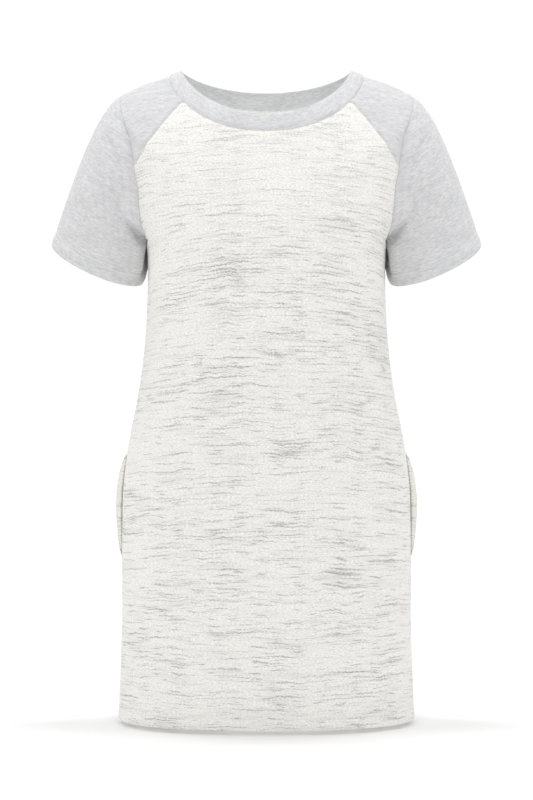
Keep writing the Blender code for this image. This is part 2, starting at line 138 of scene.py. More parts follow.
# on the sleeves, across is the turn round the arm in degrees, down the part of the length
SLEEVE_FOLDS = (
    ("cap_crease", 112, 0.30, 62, 0.42, 13, 4.0),
    ("cap_roll", 92, 0.10, 50, 0.30, 12, -2.5),
    ("back_crease", 250, 0.25, 300, 0.45, 15, 3.5),
    ("back_roll", 270, 0.12, 305, 0.25, 12, -2.0),
)
# on the body, across is the part of the quarter ring (over 1 on the back), down the run
BODY_FOLDS = (
    ("front_drag", 0.80, 318, 0.42, 384, 15, 1.8),
    ("side_drag", 0.93, 327, 0.70, 424, 13, 1.6),
    ("waist_break", 0.88, 392, 0.45, 424, 16, 1.6),
    ("back_drag", 1.20, 322, 1.55, 398, 16, 2.2),
    ("back_waist", 1.15, 424, 1.70, 469, 20, 2.6),
    ("back_waist_low", 1.30, 474, 1.85, 499, 18, 2.0),
    ("armhole_hollow", 0.73, 158, 0.86, 262, 9, 2.0),
    ("back_armhole_hollow", 1.25, 166, 1.15, 255, 11, 1.8),
)
# Rough lengths that turn the folds' chart into millimetres, and the shape of every fold
QUARTER_MM = 250
DEGREE_MM = 1.2
SLEEVE_MM = 180
FOLD_FADE = 0.7
FOLD_FALL = 1.6
# Folds of the right sleeve as seen from the front, then from the back: across is x, down is z,
# and the last column is how much steeper the flank on the body's side is
FRONT_FOLDS = (
    ("cap_crease", 211, -84, 188, -142, 12, 3.2, 0.3),
    ("seam_hollow", 198, -108, 171, -222, 7, 3.6, 1),
    ("cap_roll", 193, -92, 181, -140, 5, -1.2, 1),
    ("long_roll", 214, -122, 196, -182, 9, -1.8, 1),
    ("armpit_fold", 216, -174, 146, -243.6, 15, 6.0, 0.30),
    ("armpit_pit", 184, -206, 152, -238, 9, 2.6, 0.5),
    ("armpit_strip", 190, -176, 168, -214, 6, -1.6, 1),
    ("lower_roll", 226, -226, 190, -262, 15, -2.5, 1),
)
BACK_FOLDS = (
    ("back_armpit_fold", 203, -184, 148, -250, 18, 5.0, 0.25),
    ("back_cap_crease", 207, -98, 187, -166, 11, 2.6, 0.4),
    ("back_cap_roll", 190, -112, 178, -160, 6, -1.0, 1),
    ("back_lower_roll", 216, -228, 184, -262, 13, -2.0, 1),
)
# How quickly those folds fade where the cloth turns away, and how far from the armhole seam
FOLD_FACING = 1.8
FOLD_CLEAR = 3
# Armpit: how deep the armhole seam lies in its crease, the runs between which it does, how
# much less it reaches forward there and between which turns
SINK_DEPTH = 9
SINK_RUNS = (263, 277, 286, 291.7)
SINK_WIDTH = 4.0
ARMPIT_BACK = 0.85
ARMPIT_TURNS = (36, 22)
# The sleeve beside the body: between which heights it is shaped and how far from the seam,
# how far its flanks close in on the body, how much thinner it gets there, and how far back its
# keel lies, each with the places where that sets in or is centred and how wide it is
PINCH_TOP = (-220, -234)
PINCH_END = (-283, -263)
PINCH_CLEAR = 12
SLEEVE_TUCK = 7.5
TUCK_DEPTH = (34, 14)
TUCK_ACROSS = (198, 172)
SLEEVE_SQUASH = 0.28
SQUASH_ACROSS = (158, 20)
SQUASH_DOWN = (-208, -233)
KEEL_BACK = 12
KEEL_ACROSS = (157, 5)

# Pockets: runs at the ends of the opening, how far its front edge stands forward of the side
# line, how far both edges stand out and how far round, the shape of the opening, and the bag
MOUTH_TOP = 552
MOUTH_END = 692
MOUTH_OPEN = 13
MOUTH_FRONT_OUT = 0.4
MOUTH_BACK_OUT = 9.5
MOUTH_SPREAD = 30
MOUTH_LEAN = 0.85
MOUTH_FULL = 0.6
MOUTH_GAP = 3
MOUTH_LEAST = 2.5
BAG_START = 4
BAG_REACH = 132
BAG_NARROW = 92
BAG_LAP = 9
BAG_CLEAR = 1.5
BAG_GAP = 1.2
BAG_SLACK = 14
BAG_TOP_RUN = 527.8
BAG_END_RUN = 763.5
BAG_ROWS = 70
BAG_COLUMNS = 28
LAP_COLUMNS = 24
# Strip of the back layer that shows in the opening, along its section: place, how far ahead
# (in laps behind the back edge, in widths of the opening before it), and fall from the back
# panel (0) to the lip beside the front edge (1) and on to the inside of the pocket (2)
FACING = ((0, -1, 0), (0.20, 0.03, 0), (0.25, 0.07, -0.20), (0.40, 0.24, -0.06),
          (0.55, 0.52, 0.30), (0.70, 0.74, 0.74), (0.80, 0.80, 0.97), (0.87, 0.66, 1.12),
          (0.94, 0.38, 1.28), (1, 0.34, 1.50))
FACING_LIP = 1.9

# How far the cloth's courses hang down at the sides of a panel, by height
COURSE_HEIGHT = (-900, -862, -750, -600, -450, -300, -150, -60, 0)
COURSE_SAG = (0, 0, 5, 10, 12, 19, 17, 8, 6)
# How far along the cloth the back panel is cut from the front panel
BACK_GRAIN = 1730

# Seams and hems: depth of the armhole seam's valley as a part of the others' and the run over
# which it sets in, where the turned edges lie beside a seam, how full a hem is, its needle
# lines, how much thicker it is and where that ends, and how round its edge is
ARMHOLE_VALLEY = 0.15
ARMHOLE_EASE = 12
ALLOWANCE_PLACE = (6, 4)
HEM_FULL = 0.6
NEEDLE_WIDTH = 0.9
NEEDLE_DEPTH = 0.45
HEM_DOUBLED = 0.5
HEM_STEP = (3, 4.5)
EDGE_ROUND = 0.92

# Grid spacing, rough sizes of the patches it is laid over, and the power by which a panel's
# rows bend up to its sides
STEP = 4.2
NEAR_SEAM = (0, 0.5, 1.1, 1.8, 2.6, 3.6, 4.9, 6.5, 8.5)
NEAR_HEM = (0, 0.12, 0.4, 0.8, 1.4, 2.4, 5, 8, 11, 13.5, 14.8, 15.6, 16.2, 16.8, 17.6, 18.6,
            19.6, 20.4, 21.2, 22.4, 24.5)
SLANT_LENGTH = 150
PANEL_HALF = 235
YOKE_ACROSS = 170
YOKE_DOWN = 110
SLEEVE_LENGTH = 190
ROW_BEND = 2.5


def metres(name, default, description):
    """Length that can be changed in the sidebar, in metres."""
    return FloatProperty(name=name, description=description, default=default, unit="LENGTH")


def colour(name, default, description):
    """Colour that can be changed in the sidebar."""
    return FloatVectorProperty(name=name, description=description, default=default, min=0,
                               max=1, subtype="COLOR")


class DressSizes(bpy.types.PropertyGroup):
    """Sizes of cloth, seams, hems and stitches."""

    cloth: metres("Cloth", 0.0015, "Thickness of body and sleeve cloth")
    band_cloth: metres("Neckband", 0.0024, "Thickness of the doubled neckband")
    bag_cloth: metres("Pocket cloth", 0.0010, "Thickness of the pocket layers")
    seam_gap: metres("Seam gap", 0.00012, "Space between two pieces at a seam")
    valley: metres("Seam valley", 0.0011, "How deep a seam draws the cloth in")
    valley_width: metres("Valley width", 0.0022, "Half width of a seam's valley")
    allowance: metres("Seam allowance", 0.0005,
                      "Rise of the cloth over the turned edges beside a seam")
    hem: metres("Hem", 0.018, "Height of the turned hems")
    hem_puff: metres("Hem puff", 0.0006, "Roundness of the turned hems")
    stitch: metres("Stitch", 0.0026, "Length of one hem stitch")
    stitch_pitch: metres("Stitch pitch", 0.0034, "Distance between stitches")
    thread: metres("Thread", 0.00045, "Half thickness of the sewing thread")
    needle_gap: metres("Needle gap", 0.0050, "Distance of the two stitch rows")
    fold_strength: FloatProperty(name="Folds", description="Depth of all folds", default=1.0,
                                 subtype="FACTOR", soft_min=0, soft_max=2)


class DressColours(bpy.types.PropertyGroup):
    """Colours of the two knits, their thread and the backdrop."""

    slub_ground: colour("Slub ground", (0.890, 0.879, 0.842), "Off-white yarn")
    slub_streak: colour("Slub streak", (0.20, 0.20, 0.20), "Grey slubs")
    pocket_ground: colour("Pocket ground", (0.835, 0.825, 0.76), "Yarn of the pockets")
    marl_light: colour("Marl light", (0.755, 0.755, 0.765), "Light fibres of the marl")
    marl_dark: colour("Marl dark", (0.55, 0.55, 0.56), "Dark fibres of the marl")
    hem_thread: colour("Hem thread", (0.86, 0.85, 0.81), "Thread of the dress's hem")
    cuff_thread: colour("Cuff thread", (0.93, 0.93, 0.935), "Thread of the cuffs")
    backdrop: colour("Backdrop", (0.97, 0.97, 0.97), "Floor and wall behind")


def in_mm(name):
    """One of the sizes in use, in millimetres."""
    return getattr(bpy.context.scene.dress_sizes, name) / MM


# Curves and shapes

def unit(vectors):
    """Vectors brought to length 1."""
    return vectors / np.linalg.norm(vectors, axis=-1, keepdims=True)


def arc(path, axis=0):
    """Lengths along a path, or along every path of a grid, from 0 at its start."""
    steps = np.linalg.norm(np.diff(path, axis=axis), axis=-1)
    return np.insert(np.cumsum(steps, axis=axis), 0, 0, axis=axis)


def soft_step(x):
    """0 below 0, 1 above 1, smooth between."""
    t = np.clip(x, 0, 1)
    return t * t * (3 - 2 * t)


def ramp(x, start, full):
    """Soft step from 0 at the start to 1 where it is full, either way round."""
    return soft_step((x - start) / (full - start))


def bell(x, centre, width):
    """Bell curve of the distance from its centre, 1 there."""
    return np.exp(-((x - centre) / width) ** 2)


def curve_through(x, knots, values):
    """Smooth cubic through the table, its slopes averaged from both sides."""
    slopes = np.gradient(values, knots)
    i = np.clip(np.searchsorted(knots, x) - 1, 0, len(knots) - 2)
    step = knots[i + 1] - knots[i]
    t = (x - knots[i]) / step
    rise = values[i + 1] - values[i]
    bend_a = slopes[i] * step - rise
    bend_b = rise - slopes[i + 1] * step
    return values[i] + t * rise + t * (1 - t) * ((1 - t) * bend_a + t * bend_b)


# Body surface

def ring_values(run):
    """Column values of the ring table at each run."""
    table = np.array([row[1:] for row in RINGS], float)
    return {name: curve_through(run, table[:, 0], table[:, k])
            for k, name in enumerate(RING_COLUMNS) if k}


def quarter_curves(ring, end):
    """Quarter rings from the front or back middle ("end") to the side, with lengths along.

    x and y follow a superellipse; z falls from the side to the middle as a power of the
    cosine, rounded off at the side."""
    turn = np.linspace(0, np.pi / 2, SECTION_SAMPLES)[None, :]
    column = {name: value[:, None] for name, value in ring.items()}
    y_side, z_side, power = column["y_side"], column["z_side"], 2 / column["square"]
    fall = np.clip((np.hypot(np.cos(turn), RIDGE_ROUND) - RIDGE_ROUND) / (
        np.hypot(1, RIDGE_ROUND) - RIDGE_ROUND), 0, 1)
    x = column["half_width"] * np.sin(turn) ** power
    y = y_side + (column["y_" + end] - y_side) * np.cos(turn) ** power
    z = z_side + (column["z_" + end] - z_side) * fall ** column["dip_" + end]
    points = np.stack([x, y, z], axis=-1)
    return points, arc(points, axis=1)


def points_along(points, along, row, share):
    """Points at a share of the length of the curves picked by row."""
    reach = share * along[row, -1]
    low = np.clip((along[row] < reach[:, None]).sum(axis=1) - 1, 0, SECTION_SAMPLES - 2)
    step = along[row, low + 1] - along[row, low]
    t = ((reach - along[row, low]) / step)[:, None]
    return points[row, low] * (1 - t) + points[row, low + 1] * t


def ring_points(curves, row, part):
    """Points on the picked rings: the front quarter up to part 1, the back quarter on."""
    front = points_along(*curves("front"), row, np.minimum(part, 1))
    back = points_along(*curves("back"), row, np.minimum(2 - part, 1))
    return np.where((part > 1)[:, None], back, front)


@lru_cache
def body_table(end):
    """Quarter rings of the front or back at every millimetre of the run."""
    return quarter_curves(ring_values(np.arange(HEM_RUN + 1.0)), end)


def body_raw(part, run):
    """Body points without folds: part 0 front middle, 1 side, 2 back middle, right half."""
    part, run = np.broadcast_arrays(np.asarray(part, float), np.asarray(run, float))
    flat, down = part.ravel(), run.ravel()
    row = np.clip(down.astype(int), 0, HEM_RUN - 1)
    upper, lower = (ring_points(body_table, row + k, flat) for k in (0, 1))
    points = upper + (lower - upper) * (down - row)[:, None]
    return points.reshape(part.shape + (3,))


def quarter_length(run):
    """Length of the front quarter ring at each run."""
    return np.interp(run, np.arange(HEM_RUN + 1), body_table("front")[1][:, -1])


def facing_out(normals, points):
    """Normals turned to point away from the upright axis."""
    away = np.sum(normals * points * [1, 1, 0], axis=-1)
    return normals * np.where(away < 0, -1, 1)[..., None]


def body_normal(part, run):
    """Outward normals by differences along both directions of the chart."""
    inner = np.clip(np.where(part > 1, part + PART_STEP, part - PART_STEP), 0, 2)
    outer = np.where(part > 1, np.maximum(part - PART_STEP, 1.0001),
                     np.minimum(part + PART_STEP, 1.0))
    along = body_raw(outer, run) - body_raw(inner, run)
    above, below = (np.clip(run + way * RUN_STEP, 0, HEM_RUN) for way in (-1, 1))
    down = body_raw(part, below) - body_raw(part, above)
    return facing_out(unit(np.cross(down, along)), body_raw(part, run))


def mirror_of(part):
    """Factors that mirror points to the left half where the part is negative."""
    return np.where(part < 0, -1, 1)[..., None] * [1, 0, 0] + [0, 1, 1]


def body(part, run, raised=0.0):
    """Body points and normals; negative parts are mirrored to the left half."""
    part, run = np.broadcast_arrays(part, run)
    side = np.abs(part)
    normal = body_normal(side, run)
    out = raised - folds_depth(side, run, BODY_FOLDS, QUARTER_MM)
    points = body_raw(side, run) + normal * out[..., None]
    return points * mirror_of(part), normal * mirror_of(part)


# Folds, seams and hems

def folds_depth(across, down, table, across_mm=1, down_mm=1):
    """Summed depth of soft folds along segments of the chart, each fading towards its ends:
    depth times a sine along the segment times a bell curve of the distance from it, which is
    narrower on one side where the fold leans."""
    scale = np.array([across_mm, down_mm])
    here = np.stack([across, down], axis=-1) * scale
    depth = 0
    for row in table:
        fold = dict(zip(FOLD_COLUMNS, row))
        start = scale * [fold["across_a"], fold["down_a"]]
        line = scale * [fold["across_b"], fold["down_b"]] - start
        along = np.clip((here - start) @ line / (line @ line), 0, 1)
        clear = np.linalg.norm(here - start - along[..., None] * line, axis=-1)
        near_side = line[0] * (here - start)[..., 1] < line[1] * (here - start)[..., 0]
        width = fold["half_width"] * np.where(near_side, fold.get("lean", 1), 1)
        depth = depth + fold["depth"] * np.sin(np.pi * along) ** FOLD_FADE * np.exp(
            -FOLD_FALL * (clear / width) ** 2)
    return depth * bpy.context.scene.dress_sizes.fold_strength


def sleeve_dent(points, normals, turns, s, from_seam):
    """Depth of a sleeve's folds: those of its chart, and those drawn as seen from the front or
    the back on the cloth that faces that way, none of them at the armhole seam itself."""
    depth = folds_depth(turns, s, SLEEVE_FOLDS, DEGREE_MM, SLEEVE_MM)
    for way, table in ((-1, FRONT_FOLDS), (1, BACK_FOLDS)):
        facing = soft_step(normals[..., 1] * way * FOLD_FACING) * ramp(from_seam, 0, FOLD_CLEAR)
        depth = depth + facing * folds_depth(points[..., 0], points[..., 2], table)
    return depth


def armpit_sink(run):
    """Depth of the armhole seam in the armpit's crease: a soft plateau along the run."""
    start, full, ease, end = SINK_RUNS
    return SINK_DEPTH * ramp(run, start, full) * ramp(run, end, ease)


def mouth_shape(run):
    """1 in the middle of the pocket opening, 0 at its ends and beyond: a power of a sine."""
    q = np.clip((run - MOUTH_TOP) / (MOUTH_END - MOUTH_TOP), 0, 1)
    return np.sin(np.pi * q ** MOUTH_LEAN) ** MOUTH_FULL


def beside_mouth(part, run):
    """1 on the side line at the middle of the pocket opening, falling off all round."""
    from_side = np.abs(np.abs(part) - 1) * quarter_length(run)
    return bell(from_side, 0, MOUTH_SPREAD) * mouth_shape(run)


def seam_relief(distance, depth=1.0):
    """Height beside a seam: a narrow valley at the seam, a low rise over the turned edges."""
    valley = depth * in_mm("valley") * bell(distance, 0, in_mm("valley_width"))
    return in_mm("allowance") * bell(distance, *ALLOWANCE_PLACE) - valley


def hem_relief(height):
    """Height of the outside beside a hem's edge: a low roll, then two needle lines."""
    hem, gap = in_mm("hem"), in_mm("needle_gap") / 2
    roll = in_mm("hem_puff") * np.sin(np.pi * np.clip(height / hem, 0, 1)) ** HEM_FULL
    lines = bell(height - hem, -gap, NEEDLE_WIDTH) + bell(height - hem, gap, NEEDLE_WIDTH)
    return roll - NEEDLE_DEPTH * lines


def hem_thickness(height):
    """Thickness of the wall by height over a hem's edge: half as thick again below the needle
    lines as above them."""
    cloth = in_mm("cloth")
    return cloth + cloth * HEM_DOUBLED * (1 - ramp(height - in_mm("hem"), *HEM_STEP))


def edge_inset(height, thickness):
    """How far both faces close in on the middle of the wall at a rounded edge."""
    radius = thickness / 2
    t = np.clip(1 - height / radius, 0, 1)
    return radius * EDGE_ROUND * (1 - np.sqrt(1 - t * t))


# Seams

def armhole(turn):
    """Part and run of the armhole seam; turn 0 underarm, 90 front, 180 tip, 270 back."""
    sine, cosine = np.sin(np.radians(turn)), np.cos(np.radians(turn))
    run = TIP_RUN + (UNDERARM_RUN - TIP_RUN) * ((1 + cosine) / 2) ** ARMHOLE_ARCH
    reach = np.where(sine > 0, ARMHOLE_FRONT, ARMHOLE_BACK)
    width = reach * (1 + ARMHOLE_LOW * cosine) / quarter_length(run)
    width = width * (1 - ARMPIT_BACK * ramp(turn, *ARMPIT_TURNS))
    return 1 - width * np.sign(sine) * np.abs(sine) ** ARMHOLE_ROUND, run


def slant(corner, turn, share):
    """Parts and runs at shares of a yoke's slanting seam, which looks straight from the front
    but for a small bow."""
    end_part, end_run = armhole(turn)
    start = body_raw(corner, 0)[[0, 2]]
    line = body_raw(end_part, end_run)[[0, 2]] - start
    square = unit(np.array([-line[1], line[0]]))
    tries = np.linspace(0.4 if corner < 1 else 1.6, 1, SLANT_TRIES)
    runs = np.linspace(0, end_run, SLANT_ROWS)
    here = body_raw(tries[None, :], runs[:, None])[..., [0, 2]] - start
    way = here @ line / (line @ line)
    off = here @ square - 4 * YOKE_BOW * way * (1 - way)
    row = np.arange(SLANT_ROWS)
    hit = np.clip((off < 0).sum(axis=1), 1, SLANT_TRIES - 1)
    t = np.clip(-off[row, hit - 1] / (off[row, hit] - off[row, hit - 1]), 0, 1)
    parts = tries[hit - 1] * (1 - t) + tries[hit] * t
    ease = np.pad(parts, SLANT_EASE, mode="reflect", reflect_type="odd")
    kernel = np.hanning(2 * SLANT_EASE + 3)[1:-1]
    parts = np.convolve(ease, kernel / kernel.sum(), mode="valid")
    along = arc(body_raw(parts, runs))
    even = np.asarray(share) * along[-1]
    return np.interp(even, along, parts), np.interp(even, along, runs)


# Grids and walls

def graded(length, near_start=(0,), near_end=(0,)):
    """Places from 0 to length, STEP apart, closer together beside the ends that ask for it."""
    start, end = np.array(near_start, float), np.array(near_end, float)
    middle = length - start[-1] - end[-1]
    count = max(2, round(middle / STEP) + 1)
    return np.concatenate([start[:-1], np.linspace(start[-1], length - end[-1], count),
                           (length - end[:-1])[::-1]])


def shift_from(edge, inner):
    """Half a seam gap from an edge towards the next row, square to the edge."""
    along = unit(np.gradient(edge, axis=0))
    step = inner - edge
    step -= np.sum(step * along, axis=-1, keepdims=True) * along
    return unit(step) * in_mm("seam_gap") / 2


def draw_in(points, edges):
    """Boundary points of a grid moved into it by half a seam gap, on the edges named."""
    moved = points.copy()
    for name, edge, inner in (("top", np.s_[0], np.s_[2]), ("low", np.s_[-1], np.s_[-3]),
                              ("sides", np.s_[:, 0], np.s_[:, 2]),
                              ("sides", np.s_[:, -1], np.s_[:, -3])):
        if name in edges:
            moved[edge] += shift_from(points[edge], points[inner])
    return moved


def quads(grid):
    """Quads between the neighbours in a grid of vertex numbers."""
    return np.stack([grid[:-1, :-1], grid[:-1, 1:], grid[1:, 1:], grid[1:, :-1]],
                    axis=-1).reshape(-1, 4)


def wall_faces(rows, columns, closed):
    """Quads of a wall: outer grid, inner grid and the rims between them, without those beside
    the first and last column where the grid is closed."""
    outer = np.arange(rows * columns).reshape(rows, columns)
    rims = [(outer[0], 1), (outer[-1, ::-1], 1)]
    if not closed:
        rims += [(outer[:, 0], 0), (outer[:, -1], 1)]
    return np.concatenate([quads(outer), quads(outer + outer.size)[:, ::-1], *(
        quads(np.stack([rim, rim + outer.size], axis)) for rim, axis in rims)])


def new_mesh(name, vertices, faces, uv, material):
    """Mesh object from whole arrays, with a UV map called cloth given at the face corners."""
    mesh = bpy.data.meshes.new(name)
    mesh.vertices.add(len(vertices))
    mesh.vertices.foreach_set("co", np.ascontiguousarray(vertices, np.float32).ravel())
    mesh.loops.add(faces.size)
    mesh.loops.foreach_set("vertex_index", faces.ravel().astype(np.int32))
    mesh.polygons.add(len(faces))
    mesh.polygons.foreach_set("loop_start", np.arange(0, faces.size, 4, dtype=np.int32))
    mesh.polygons.foreach_set("use_smooth", np.ones(len(faces), bool))
    layer = mesh.uv_layers.new(name="cloth")
    layer.uv.foreach_set("vector", uv.astype(np.float32).ravel())
    mesh.materials.append(material)
    mesh.update(calc_edges=True)
    mesh.validate()
    piece = bpy.data.objects.new(name, mesh)
    bpy.context.scene.collection.objects.link(piece)
    return piece


def add_wall(node, outer, normals, thickness, grain, material, closed=False, inset=0.0):
    """Closed wall from outer points and the normals it is thickened along. A closed grid's
    last column repeats its first, so that the grain can run on over it."""
    shape = outer.shape[:2]
    facing = np.sum(np.cross(outer[:-1, 1:] - outer[:-1, :-1], outer[1:, :-1] - outer[:-1, :-1])
                    * normals[:-1, :-1])
    thickness, inset = (np.broadcast_to(value, shape)[..., None] for value in (thickness, inset))
    vertices = np.stack([outer - normals * inset, outer - normals * (thickness - inset)])
    vertices = vertices.reshape(-1, 3) * MM
    faces = wall_faces(*shape, closed)
    if facing < 0:
        faces = faces[:, ::-1]
    uv = np.concatenate([grain.reshape(-1, 2)] * 2)[faces.ravel()] * MM
    if closed:
        number, last = np.arange(len(vertices)), shape[1] - 1
        number -= last * (number % shape[1] == last)
        used, place = np.unique(number, return_inverse=True)
        vertices, faces = vertices[used], place[faces]
    return new_mesh(node + "_cloth", vertices, faces, uv, material)


def finish_piece(piece, node):
    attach(piece, "root")
    if node:
        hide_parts(node)


# Panels and yokes

def panel_rows(corner, turn):
    """Part and run of a panel's right edge in every row, neck seam to hem, and the run of its
    middle, which spreads the rows evenly where those of the edge crowd."""
    slant_share = graded(SLANT_LENGTH, near_start=NEAR_SEAM) / SLANT_LENGTH
    slant_part, slant_run = slant(corner, turn, slant_share)
    fine = np.linspace(turn, 0 if turn < 180 else 360, 400)
    along = arc(body_raw(*armhole(fine)))
    places = np.linspace(0, along[-1], round(along[-1] / STEP) + 1)[1:]
    arm_part, arm_run = armhole(np.interp(places, along, fine))
    skirt = UNDERARM_RUN + graded(HEM_RUN - UNDERARM_RUN, near_end=NEAR_HEM)[1:]
    count = slant_part.size + arm_part.size - len(NEAR_SEAM) + 1
    middle = np.concatenate([NEAR_SEAM[:-1], np.linspace(NEAR_SEAM[-1], UNDERARM_RUN, count),
                             skirt])
    part = np.concatenate([slant_part, arm_part, np.ones(skirt.size)])
    return part, np.concatenate([slant_run, arm_run, skirt]), middle


def panel_chart(corner, turn, opened):
    """Edge part and run, spread of the columns from -1 to 1, closer together beside the sides,
    and run of every point of a panel."""
    edge, edge_run, middle = panel_rows(corner, turn)
    if opened:
        edge = edge - MOUTH_OPEN * mouth_shape(edge_run) / quarter_length(edge_run)
    half = 1 - graded(PANEL_HALF, near_start=NEAR_SEAM) / PANEL_HALF
    spread = np.concatenate([-half, half[::-1][1:]])[None, :]
    run = middle[:, None] + (edge_run - middle)[:, None] * np.abs(spread) ** ROW_BEND
    return edge, edge_run, spread, run


def body_grain(points, part, run):
    """Grain of a body panel: across along the ring, down by height with the courses sagging
    towards the sides."""
    share = np.clip(np.abs(points[..., 0]) / ring_values(run)["half_width"], 0, 1)
    sag = np.interp(points[..., 2], COURSE_HEIGHT, COURSE_SAG) * share ** 2.6
    side = np.where(np.abs(part) > 1, 2 - np.abs(part), np.abs(part))
    across = np.sign(part) * side * quarter_length(run) + BACK_GRAIN * (np.abs(part).max() > 1)
    return np.stack([across, -points[..., 2] - sag], axis=-1)


def side_relief(part, run, edge, edge_run):
    """Relief beside a panel's side edges, with no seam where the pocket opens, and the
    distance square to the edge."""
    rim = body_raw(edge, edge_run)
    along = unit(np.gradient(rim, axis=0))[:, None]
    away = body_raw(np.abs(part), run) - rim[:, None]
    away -= np.sum(away * along, axis=-1, keepdims=True) * along
    distance = np.linalg.norm(away, axis=-1)
    closed_seam = 1 - ramp(mouth_shape(run), 0, 0.25)
    slant_end = armhole(YOKE_TURN)[1]
    beside_arm = ramp(run, slant_end - ARMHOLE_EASE, slant_end) * ramp(
        run, UNDERARM_RUN + ARMHOLE_EASE / 2, UNDERARM_RUN - ARMHOLE_EASE / 2)
    depth = 1 - (1 - ARMHOLE_VALLEY) * beside_arm
    sunk = armpit_sink(edge_run)[:, None] * bell(distance, 0, SINK_WIDTH)
    return seam_relief(distance, depth) * closed_seam - sunk, distance


def panel_wall(node, part, chart, mouth_out):
    """A panel's wall with its seams and hem, rounded at the hem and pocket openings."""
    edge, edge_run, spread, run = chart
    relief, from_side = side_relief(part, run, edge, edge_run)
    height = HEM_RUN - run
    raised = mouth_out * beside_mouth(part, run) + relief
    points, normals = body(part, run, raised + seam_relief(run) + hem_relief(height))
    thickness = hem_thickness(height)
    inset = np.maximum(edge_inset(height, thickness), np.where(
        mouth_shape(run) > 0.02, edge_inset(from_side, thickness), 0))
    piece = add_wall(node, draw_in(points, ("top", "sides")), normals, thickness,
                     body_grain(points, part, run), slub_knit(), inset=inset)
    finish_piece(piece, node)


def front_panel():
    """Front panel from side to side, neck seam to hem, drawn back at the pocket openings."""
    chart = panel_chart(FRONT_CORNER, YOKE_TURN, True)
    panel_wall("front_panel", chart[0][:, None] * chart[2], chart, MOUTH_FRONT_OUT)


def back_panel():
    """Back panel from side to side, standing out at the pocket openings."""
    chart = panel_chart(2 - BACK_CORNER, 360 - YOKE_TURN, False)
    edge, spread = chart[0][:, None], chart[2]
    part = np.where(spread < 0, 1, -1) * (2 - (2 - edge) * np.abs(spread))
    panel_wall("back_panel", part, chart, MOUTH_BACK_OUT)


def yoke(label, side):
    """Shoulder yoke between the neck seam, two slanting seams and the armhole: a patch blended
    between its four edges."""
    c = graded(YOKE_ACROSS, NEAR_SEAM, NEAR_SEAM)[None, :] / YOKE_ACROSS
    r = graded(YOKE_DOWN, NEAR_SEAM, NEAR_SEAM)[:, None] / YOKE_DOWN
    low = armhole(YOKE_TURN + (360 - 2 * YOKE_TURN) * c[0])
    top = FRONT_CORNER + (2 - BACK_CORNER - FRONT_CORNER) * c[0], np.zeros(c.size)
    front = slant(FRONT_CORNER, YOKE_TURN, r[:, 0])
    back = slant(2 - BACK_CORNER, 360 - YOKE_TURN, r[:, 0])
    part, run = (
        (1 - r) * top[k] + r * low[k] + (1 - c) * front[k][:, None] + c * back[k][:, None]
        - (1 - r) * ((1 - c) * top[k][0] + c * top[k][-1])
        - r * ((1 - c) * low[k][0] + c * low[k][-1])
        for k in range(2))
    flat = body_raw(part, run)
    across, down = arc(flat, axis=1)[:, -1:], arc(flat)[-1:]
    others = np.minimum(np.minimum(c, 1 - c) * across, r * down)
    from_arm = (1 - r) * down
    depth = 1 - (1 - ARMHOLE_VALLEY) * ramp(others - from_arm, -2, 2)
    points, normals = body(part * side, run, seam_relief(np.minimum(others, from_arm), depth))
    grain = np.stack([points[..., 0], -0.9 * points[..., 2] + 0.5 * np.hypot(
        points[..., 1] - 4, 15)], axis=-1)
    node = f"shoulder_yoke_{label}"
    piece = add_wall(node, draw_in(points, ("top", "low", "sides")), normals, in_mm("cloth"),
                     grain, marl_knit())
    finish_piece(piece, node)


# Sleeves

def grid_normals(points):
    """Outward normals of a sleeve grid whose last column repeats its first."""
    ring = points[:, :-1]
    round_it = np.roll(ring, -1, axis=1) - np.roll(ring, 1, axis=1)
    normal = unit(np.cross(round_it, np.gradient(ring, axis=0)))
    if np.sum(normal * (ring - ring.mean(axis=1, keepdims=True))) < 0:
        normal = -normal
    return np.concatenate([normal, normal[:, :1]], axis=1)


def sleeve_columns(turn, sink, start, end, far, s):
    """Columns of the right sleeve: each is a cubic from the armhole seam to the cuff ring, with
    a direction and pull of its own at both ends."""
    sine, cosine = np.sin(np.radians(turn))[:, None], np.cos(np.radians(turn))[:, None]
    leave = np.array(LEAVE_SIDE) + sine * LEAVE_FRONT + cosine * LEAVE_UNDER
    under, sunk = ramp(cosine, 0.90, 1.0), sink[:, None] / SINK_DEPTH
    leave += under * (np.array(UNDERARM_LEAVE) - leave)
    leave += sunk * (np.array(SUNK_LEAVE) - leave)
    leave = unit(leave) * far * LEAVE_PULL * (1 + sunk)
    arrive = (np.array(CUFF_AIM) + under * UNDERARM_AIM) * far * CUFF_PULL
    k = s[:, :, None]
    return ((1 + 2 * k) * (1 - k) ** 2 * start + k * (1 - k) ** 2 * leave
            + k * k * (3 - 2 * k) * end + k * k * (k - 1) * arrive)


def cuff_ring(turn):
    """Points of the right cuff's ring at turns round the arm: a tilted superellipse."""
    sine, cosine = np.sin(np.radians(turn)), np.cos(np.radians(turn))
    power = 2 / np.where(cosine > 0, CUFF_SQUARE_INNER, CUFF_SQUARE)
    return (np.array(CUFF_CENTRE)
            + (np.sign(cosine) * np.abs(cosine) ** power)[:, None] * CUFF_ACROSS
            + (np.clip(sine, 0, 1) ** power)[:, None] * CUFF_FORWARD
            + (np.clip(-sine, 0, 1) ** power)[:, None] * CUFF_BACKWARD)


